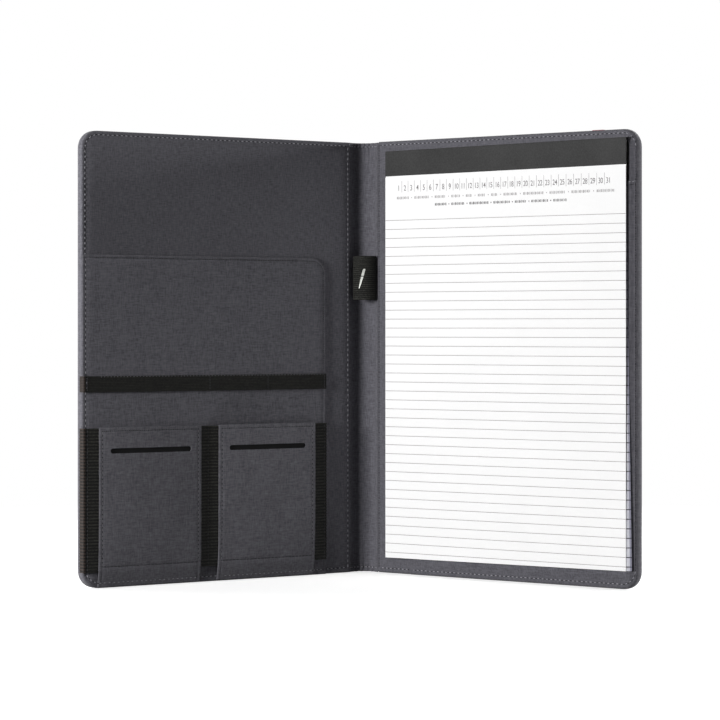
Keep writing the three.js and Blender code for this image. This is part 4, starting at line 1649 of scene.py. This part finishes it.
@dataclass
class SoftSpine(Maker):
    """The gutter: an arc of lining, its outer cloth, and a cloth at each side bent from the spine onto its
    cover at the cover's present fold.
    """

    covers: tuple[FoldedCover, FoldedCover]
    half: float = 10.37
    radius: float = 10.474
    centre: float = -1.474
    height: float = 316.0
    shell_radius: float = 12.724
    head_seam: float = 2.8
    foot_seam: float = 3.3

    def build(self) -> None:
        """Make the lining with its puckers, the outer cloth, and the seams and edges at both ends."""
        self.lining()
        self.outer_cloth()
        self.end_seams()
        self.end_folds()

    def end_folds(self) -> None:
        """Cloth turned in between lining and outer cloth, which closes the spine's two ends."""
        for name, z in (("spine_head_fold", self.height - 0.3), ("spine_foot_fold", 0.3)):
            fold = Bench.cloth(name, (0.03, 0.0), (0.97, 1.0), (40, 6))

            def rule(p: Vector) -> Vector:
                inner, outer = self.arc(p.x, self.radius + 0.3), self.arc(p.x, self.shell_radius + 0.5)
                crown = 0.25 * math.sin(math.pi * p.z) * (1 if z > self.height / 2 else -1)
                spot = (inner[i] + (outer[i] - inner[i]) * p.z for i in range(2))
                return Vector((*spot, z - 0.1 * crown + crown))

            Bench.move(fold, rule)
            if z < self.height / 2:
                Bench.flip(fold)
            Bench.thicken(fold, 0.5)
            self.dress(Bench.smooth(fold, 60), "fabric_shell", "shell_cloth")

    def arc(self, share: float, radius: float) -> tuple[float, float]:
        """A place on the arc, from 0 at the front cover to 1 at the back cover."""
        half = math.asin(min(self.half / radius, 1.0))
        angle = (2 * share - 1) * half
        return radius * math.sin(angle), self.centre + radius * math.cos(angle)

    def lining(self) -> None:
        """Inner cloth: puckered between the stitches at both ends, with a crease from the top."""
        cloth = Bench.cloth("gutter_lining_cloth", (0.0, 0.05), (1.0, self.height - 0.05), (72, 420))
        seam_wide, pucker_reach, crease_reach, crease_wide = 0.7, 8.0, 14.0, 0.03

        def rule(p: Vector) -> Vector:
            x, y = self.arc(p.x, self.radius + 0.12)
            top, low = self.height - p.z, p.z
            seam = 0.3 * (ridge(top, self.head_seam, seam_wide) + ridge(low, self.foot_seam, seam_wide))
            near_low, near_top = math.exp(-low / pucker_reach), math.exp(-top / pucker_reach)
            pucker = 0.5 * near_low * math.sin(p.x * 46) + 0.35 * near_top * math.sin(p.x * 52 + 1)
            line = 0.66 - 0.002 * top
            crease = 0.9 * ridge(p.x, line, crease_wide) * math.exp(-top / crease_reach)
            soft = 0.25 * math.sin(p.z * 0.045) + 0.15 * math.sin(p.z * 0.13 + p.x * 3)
            out = seam + crease - pucker + soft * 0.6
            rim = math.sin(math.pi * min(max(p.x, 0.0), 1.0)) ** 0.5
            nx, ny = x / self.radius, (y - self.centre) / self.radius
            return Vector((x + nx * out * rim * 0.5, y + ny * out * rim, p.z))

        Bench.move(cloth, rule)
        Bench.thicken(cloth, 0.55)
        Bench.smooth(cloth, 60)
        self.dress(cloth, "fabric_lining", "lining_cloth", "spine_lining")

    def outer_cloth(self) -> None:
        """Outer cloth round the spine, and at each side a hinge cloth bent onto its cover at the cover's
        present fold.
        """
        spine = Bench.cloth("spine_outer_cloth", (0.0, 0.05), (1.0, self.height - 0.05), (28, 60))
        Bench.move(spine, lambda p: Vector((*self.arc(p.x, self.shell_radius + 0.05), p.z)))
        Bench.thicken(spine, 0.7, 1.0)
        Bench.smooth(spine, 60)
        self.dress(spine, "fabric_shell", "shell_cloth", "spine_shell")
        for cover in self.covers:
            self.hinge_cloth(cover)

    def hinge_cloth(self, cover: FoldedCover) -> None:
        """Cloth that runs from the spine's outside onto a cover's outside and bends between them."""
        side = cover.side.value
        name = f"{cover.name}_hinge_cloth"
        strip = Bench.cloth(name, (0.0, 0.1), (1.0, self.height - 0.1), (26, 60))
        fold = cover.fold
        out = Vector((side * math.sin(fold), math.cos(fold)))
        along = Vector((side * math.cos(fold), -math.sin(fold)))
        hinge = Vector((side * self.half, 0.0))
        reach = self.shell_radius + 0.86
        on_spine, on_cover, length, stand_off, turn = 0.45, 0.55, 8.5, 6.12, 0.35

        def rule(p: Vector) -> Vector:
            if p.x < on_spine:
                share = 0.5 + side * (0.22 + 0.28 * p.x / on_spine)
                return Vector((*self.arc(share, reach), p.z))
            t = (p.x - on_spine) / on_cover
            end = Vector(self.arc(0.5 + side * 0.5, reach))
            target = hinge + out * stand_off + along * (length * t)
            spot = end.lerp(target, eased(t / turn))
            return Vector((spot.x, spot.y, p.z))

        Bench.move(strip, rule)
        Bench.whole(strip, lambda: bpy.ops.mesh.normals_make_consistent(inside=False))
        Bench.thicken(strip, 0.45, 0.0)
        Bench.smooth(strip, 60)
        strip.data.transform(self.where.matrix)
        strip.data.materials.append(self.wardrobe.take("shell_cloth", self.where))
        f"{cover.side.name.lower()}_cover"
        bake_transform(strip)
        log.info("%s: %d faces", strip.name, len(strip.data.polygons))

    def end_seams(self) -> None:
        """Rows of stitches across the gutter near its top and bottom edges."""
        paths = []
        for z in (self.height - self.head_seam, self.foot_seam):
            paths.append([Vector((*self.arc(k / 30, self.radius - 0.02), z)) for k in range(1, 30)])
        threads, holes = [], []
        sewing = Stitching(2.8, 0.5)
        for path in paths:
            for middle, along in spaced(path, sewing.pitch):
                up = Vector((-middle.x, -(middle.y - self.centre), 0)).normalized()
                side = up.cross(along).normalized()
                turn = Matrix((along, side, up)).transposed().to_4x4()
                threads.append(Matrix.Translation(middle) @ turn)
                holes.append(Matrix.Translation(middle + along * (sewing.pitch / 2)) @ turn)
        pieces = (
            (Bench.copies("gutter_seam_thread", sewing.bead("gutter_stitch", (0.95, 0.25, 0.22)), threads),
             "thread_light"),
            (Bench.copies("gutter_seam_holes", sewing.bead("gutter_hole", (0.4, 0.3, 0.1)), holes),
             "needle_hole"),
        )
        for piece, recipe in pieces:
            self.dress(Bench.smooth(piece, 80), "fabric_lining", recipe)


@dataclass
class PenLoop(Maker):
    """Ribbed elastic loop over the gutter, its ends tucked into the back cover's seam."""

    left: float = -7.75
    right: float = 9.4
    front: float = 6.2
    back: float = 2.6
    seam_y: float = -0.3
    low: float = 200.3
    height: float = 32.0
    rib: float = 0.28

    def section(self, share: float) -> Vector:
        """A point of the loop's outside, round from its seam over the front and back again."""
        sweep = (self.right - self.left) * 0.3
        y0, front, back = self.seam_y, self.seam_y - self.front, self.seam_y + self.back
        first = [(self.right, y0 - 0.5), (self.right - sweep, front),
                 (self.left + sweep, front), (self.left, y0 - 0.6)]
        second = [(self.left, y0 - 0.6), (self.left + 0.2, back),
                  (self.right - sweep, back), (self.right, y0 + 0.5)]
        points, t = (first, share * 2) if share < 0.5 else (second, share * 2 - 1)
        a, b, c, d = (Vector((x, y, 0)) for x, y in points)
        m = 1 - t
        return a * m**3 + b * (3 * m * m * t) + c * (3 * m * t * t) + d * t**3

    def build(self) -> None:
        """Make the ribbed loop and the plain pen sign printed on it."""
        loop = Bench.cloth("pen_loop_elastic", (0.0, self.low), (1.0, self.low + self.height), (80, 170))

        def rule(p: Vector) -> Vector:
            spot = self.section(min(p.x, 1.0))
            ahead = self.section(min(p.x + 0.002, 1.0)) - self.section(max(p.x - 0.002, 0.0))
            out = Vector((-ahead.y, ahead.x, 0)).normalized()
            groove = 0.5 - 0.5 * math.cos(2 * math.pi * p.z / RIB_PITCH)
            return Vector((spot.x, spot.y, p.z)) - out * self.rib * groove

        Bench.move(loop, rule)
        Bench.flip(loop)
        Bench.thicken(loop, 0.5)
        Bench.smooth(loop, 50)
        self.dress(loop, "elastic", "elastic", "pen_loop")
        self.sign()

    def sign(self) -> None:
        """A plain pen sign in silver: a slim slanted barrel with a pointed end, and a cap ring's gap."""
        slant = 0.3
        outline = {
            "barrel": [(-0.12, 0.0), (0.12, 0.0), (0.55, 2.2), (0.9, 8.7), (-0.9, 8.7), (-0.55, 2.2)],
            "cap": [(-0.95, 9.3), (0.95, 9.3), (0.9, 13.6), (0.6, 14.4), (-0.6, 14.4), (-0.9, 13.6)],
        }
        parts = []
        base = Vector((-3.1, 0, 208.6))
        for name, points in outline.items():
            mesh = bpy.data.meshes.new(f"sign_{name}")
            spots = []
            for x, z in points:
                px = base.x + x + z * slant * 0.9
                spots.append((px, self.front_at(px) - 0.1, base.z + z))
            mesh.from_pydata(spots, [], [tuple(range(len(spots)))])
            part = bpy.data.objects.new(f"sign_{name}", mesh)
            bpy.context.scene.collection.objects.link(part)
            parts.append(part)
        sign = Bench.join("pen_sign_print", parts)
        Bench.thicken(sign, 0.1, 0.0)
        self.dress(sign, "elastic", "silver_foil")

    def front_at(self, x: float) -> float:
        """How far forward the loop's face is at a place across it."""
        tries = [self.section(k / 400) for k in range(200)]
        return min(tries, key=lambda p: abs(p.x - x)).y


@dataclass(frozen=True)
class Lamp:
    """A square soft light that looks at a point: places and size in metres, power in watts."""

    name: str
    spot: Point
    aim: Point
    power: float
    size: float


@dataclass
class Studio:
    """Pale sweep, soft lights and the photograph's camera."""

    middle: Vector
    eye: Point = (52.1, -2079.7, 179.6)
    lens: float = 141.5
    shift: float = -32 / 720
    tilt_sine: float = 0.02627
    soft_light: float = 0.06
    floor_glow: float = 0.62
    floor_fade: Spot = (0.45, 0.9)
    lamps: tuple[Lamp, ...] = (
        Lamp("key", (-1.22, -1.2, 0.4), (0.0, 0.0, 0.14), 30.0, 0.4),
        Lamp("right_rim", (1.6, 0.35, 0.3), (0.15, 0.0, 0.16), 27.0, 0.5),
        Lamp("left_rim", (-1.5, 0.2, 0.2), (-0.1, 0.0, 0.16), 13.0, 0.5),
        Lamp("rear", (0.7, 1.21, 0.95), (0.0, 0.0, 0.16), 24.0, 0.6),
    )

    def build(self) -> None:
        """Set up the camera, the lamps, the world and the floor."""
        scene = bpy.context.scene
        scene.view_settings.view_transform = "Standard"
        self.camera(scene)
        for lamp in self.lamps:
            self.hang(lamp)
        self.world(scene)
        self.floor()

    def camera(self, scene: bpy.types.Scene) -> None:
        """Camera found from the photograph: level, 2 m away, a little right of the spine."""
        data = bpy.data.cameras.new("camera")
        data.lens = self.lens
        data.sensor_width = 36.0
        data.shift_y = self.shift
        data.clip_end = 50
        camera = bpy.data.objects.new("camera", data)
        scene.collection.objects.link(camera)
        camera.location = self.middle + Vector(self.eye) * MM
        camera.rotation_euler = (math.pi / 2, 0, math.asin(self.tilt_sine))
        scene.camera = camera

    def hang(self, lamp: Lamp) -> None:
        """Hang a lamp, turned to the point that it looks at."""
        data = bpy.data.lights.new(lamp.name, "AREA")
        data.energy = lamp.power
        data.size = lamp.size
        light = bpy.data.objects.new(lamp.name, data)
        bpy.context.scene.collection.objects.link(light)
        light.location = lamp.spot
        way = Vector(lamp.aim) - Vector(lamp.spot)
        light.rotation_euler = way.to_track_quat("-Z", "Y").to_euler()

    def world(self, scene: bpy.types.Scene) -> None:
        """A white surround that lights softly and shows white behind the object."""
        world = bpy.data.worlds.new("surround")
        scene.world = world
        world.use_nodes = True
        tree = world.node_tree
        tree.nodes.clear()
        path = tree.nodes.new("ShaderNodeLightPath")
        mix = tree.nodes.new("ShaderNodeMixShader")
        out = tree.nodes.new("ShaderNodeOutputWorld")
        direct = path.outputs["Is Camera Ray"]
        for kind in ("Is Glossy Ray", "Is Transmission Ray"):
            either = tree.nodes.new("ShaderNodeMath")
            either.operation = "MAXIMUM"
            tree.links.new(direct, either.inputs[0])
            tree.links.new(path.outputs[kind], either.inputs[1])
            direct = either.outputs[0]
        tree.links.new(direct, mix.inputs[0])
        for slot, strength in ((1, self.soft_light), (2, 1.0)):
            white = tree.nodes.new("ShaderNodeBackground")
            white.inputs["Color"].default_value = (1, 1, 1, 1)
            white.inputs["Strength"].default_value = strength
            tree.links.new(white.outputs[0], mix.inputs[slot])
        tree.links.new(mix.outputs[0], out.inputs["Surface"])

    def floor(self) -> None:
        """A pale floor that keeps the object's contact shadow and fades into the white surround."""
        bpy.ops.object.select_all(action="DESELECT")
        bpy.ops.mesh.primitive_plane_add(size=8.0, location=(0, 0, -0.0002))
        floor = bpy.context.object
        floor.name = "studio_floor"
        s = Shader("white_sweep")
        path = s.add("LightPath")
        dim = s.add("BsdfDiffuse", Color=(0.25, 0.25, 0.25, 1))
        pale = s.add("BsdfDiffuse", Color=(0.8, 0.8, 0.8, 1))
        glow = s.add("Emission", Color=(1, 1, 1, 1), Strength=self.floor_glow)
        both = s.add("AddShader", i0=pale.outputs[0], i1=glow.outputs[0])
        shiny = s.math("MAXIMUM", path.outputs["Is Glossy Ray"], path.outputs["Is Transmission Ray"])
        direct = s.math("MAXIMUM", path.outputs["Is Camera Ray"], shiny)
        mix = s.add("MixShader", i0=direct, i1=dim.outputs[0], i2=both.outputs[0])
        spot = s.add("TexCoord").outputs["Object"]
        away = s.add("VectorMath", {"operation": "LENGTH"}, i0=spot).outputs["Value"]
        gone = s.spread(away, *self.floor_fade)
        clear = s.add("BsdfTransparent")
        swept = s.add("MixShader", i0=gone, i1=mix.outputs[0], i2=clear.outputs[0])
        floor.data.materials.append(s.finish(swept))


def dress_kept_nodes(nodes: dict[str, Piece], wardrobe: Wardrobe, places: dict[str, Place]) -> None:
    """Give each CAD node that stays in view its real finish.

    Args:
        nodes: The CAD nodes by name.
        wardrobe: The finishes.
        places: The spine and both covers by name.
    """
    recipes = {"board": "grey_board", "foam": "foam"}
    for name in ("front_board", "front_foam", "back_board", "back_foam", "spine_foam"):
        place, kind = name.split("_")
        material = wardrobe.take(recipes[kind], places[place])
        for slot in nodes[name].material_slots:
            slot.material = material
        log.info("%s: dressed in %s", name, material.name)


def main() -> None:
    """Build the padfolio's looks in order, from the covers to the studio."""
    logging.basicConfig(level=logging.INFO, format="%(name)s: %(message)s")
    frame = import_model()
    hinges = {j["child"]: Vector(j["pos_m"]) for j in frame["joints"] if j["parent"] == "spine"}
    fold = math.radians(FOLD_DEGREES)
    front = FoldedCover(Vector((*hinges["front_cover"][:2], 0)), Side.FRONT, fold)
    back = FoldedCover(Vector((*hinges["back_cover"][:2], 0)), Side.BACK, fold)
    spine = Place((front.hinge + back.hinge) / 2)
    wardrobe = Wardrobe()
    PocketedCover(front, wardrobe).build()
    PadCover(back, wardrobe).build()
    WritingPad(back, wardrobe).build()
    SoftSpine(spine, wardrobe, (front, back)).build()
    PenLoop(spine, wardrobe).build()
    dress_kept_nodes(frame["nodes"], wardrobe, {"front": front, "back": back, "spine": spine})
    Studio(spine.hinge).build()


if __name__ == "__main__":
    main()
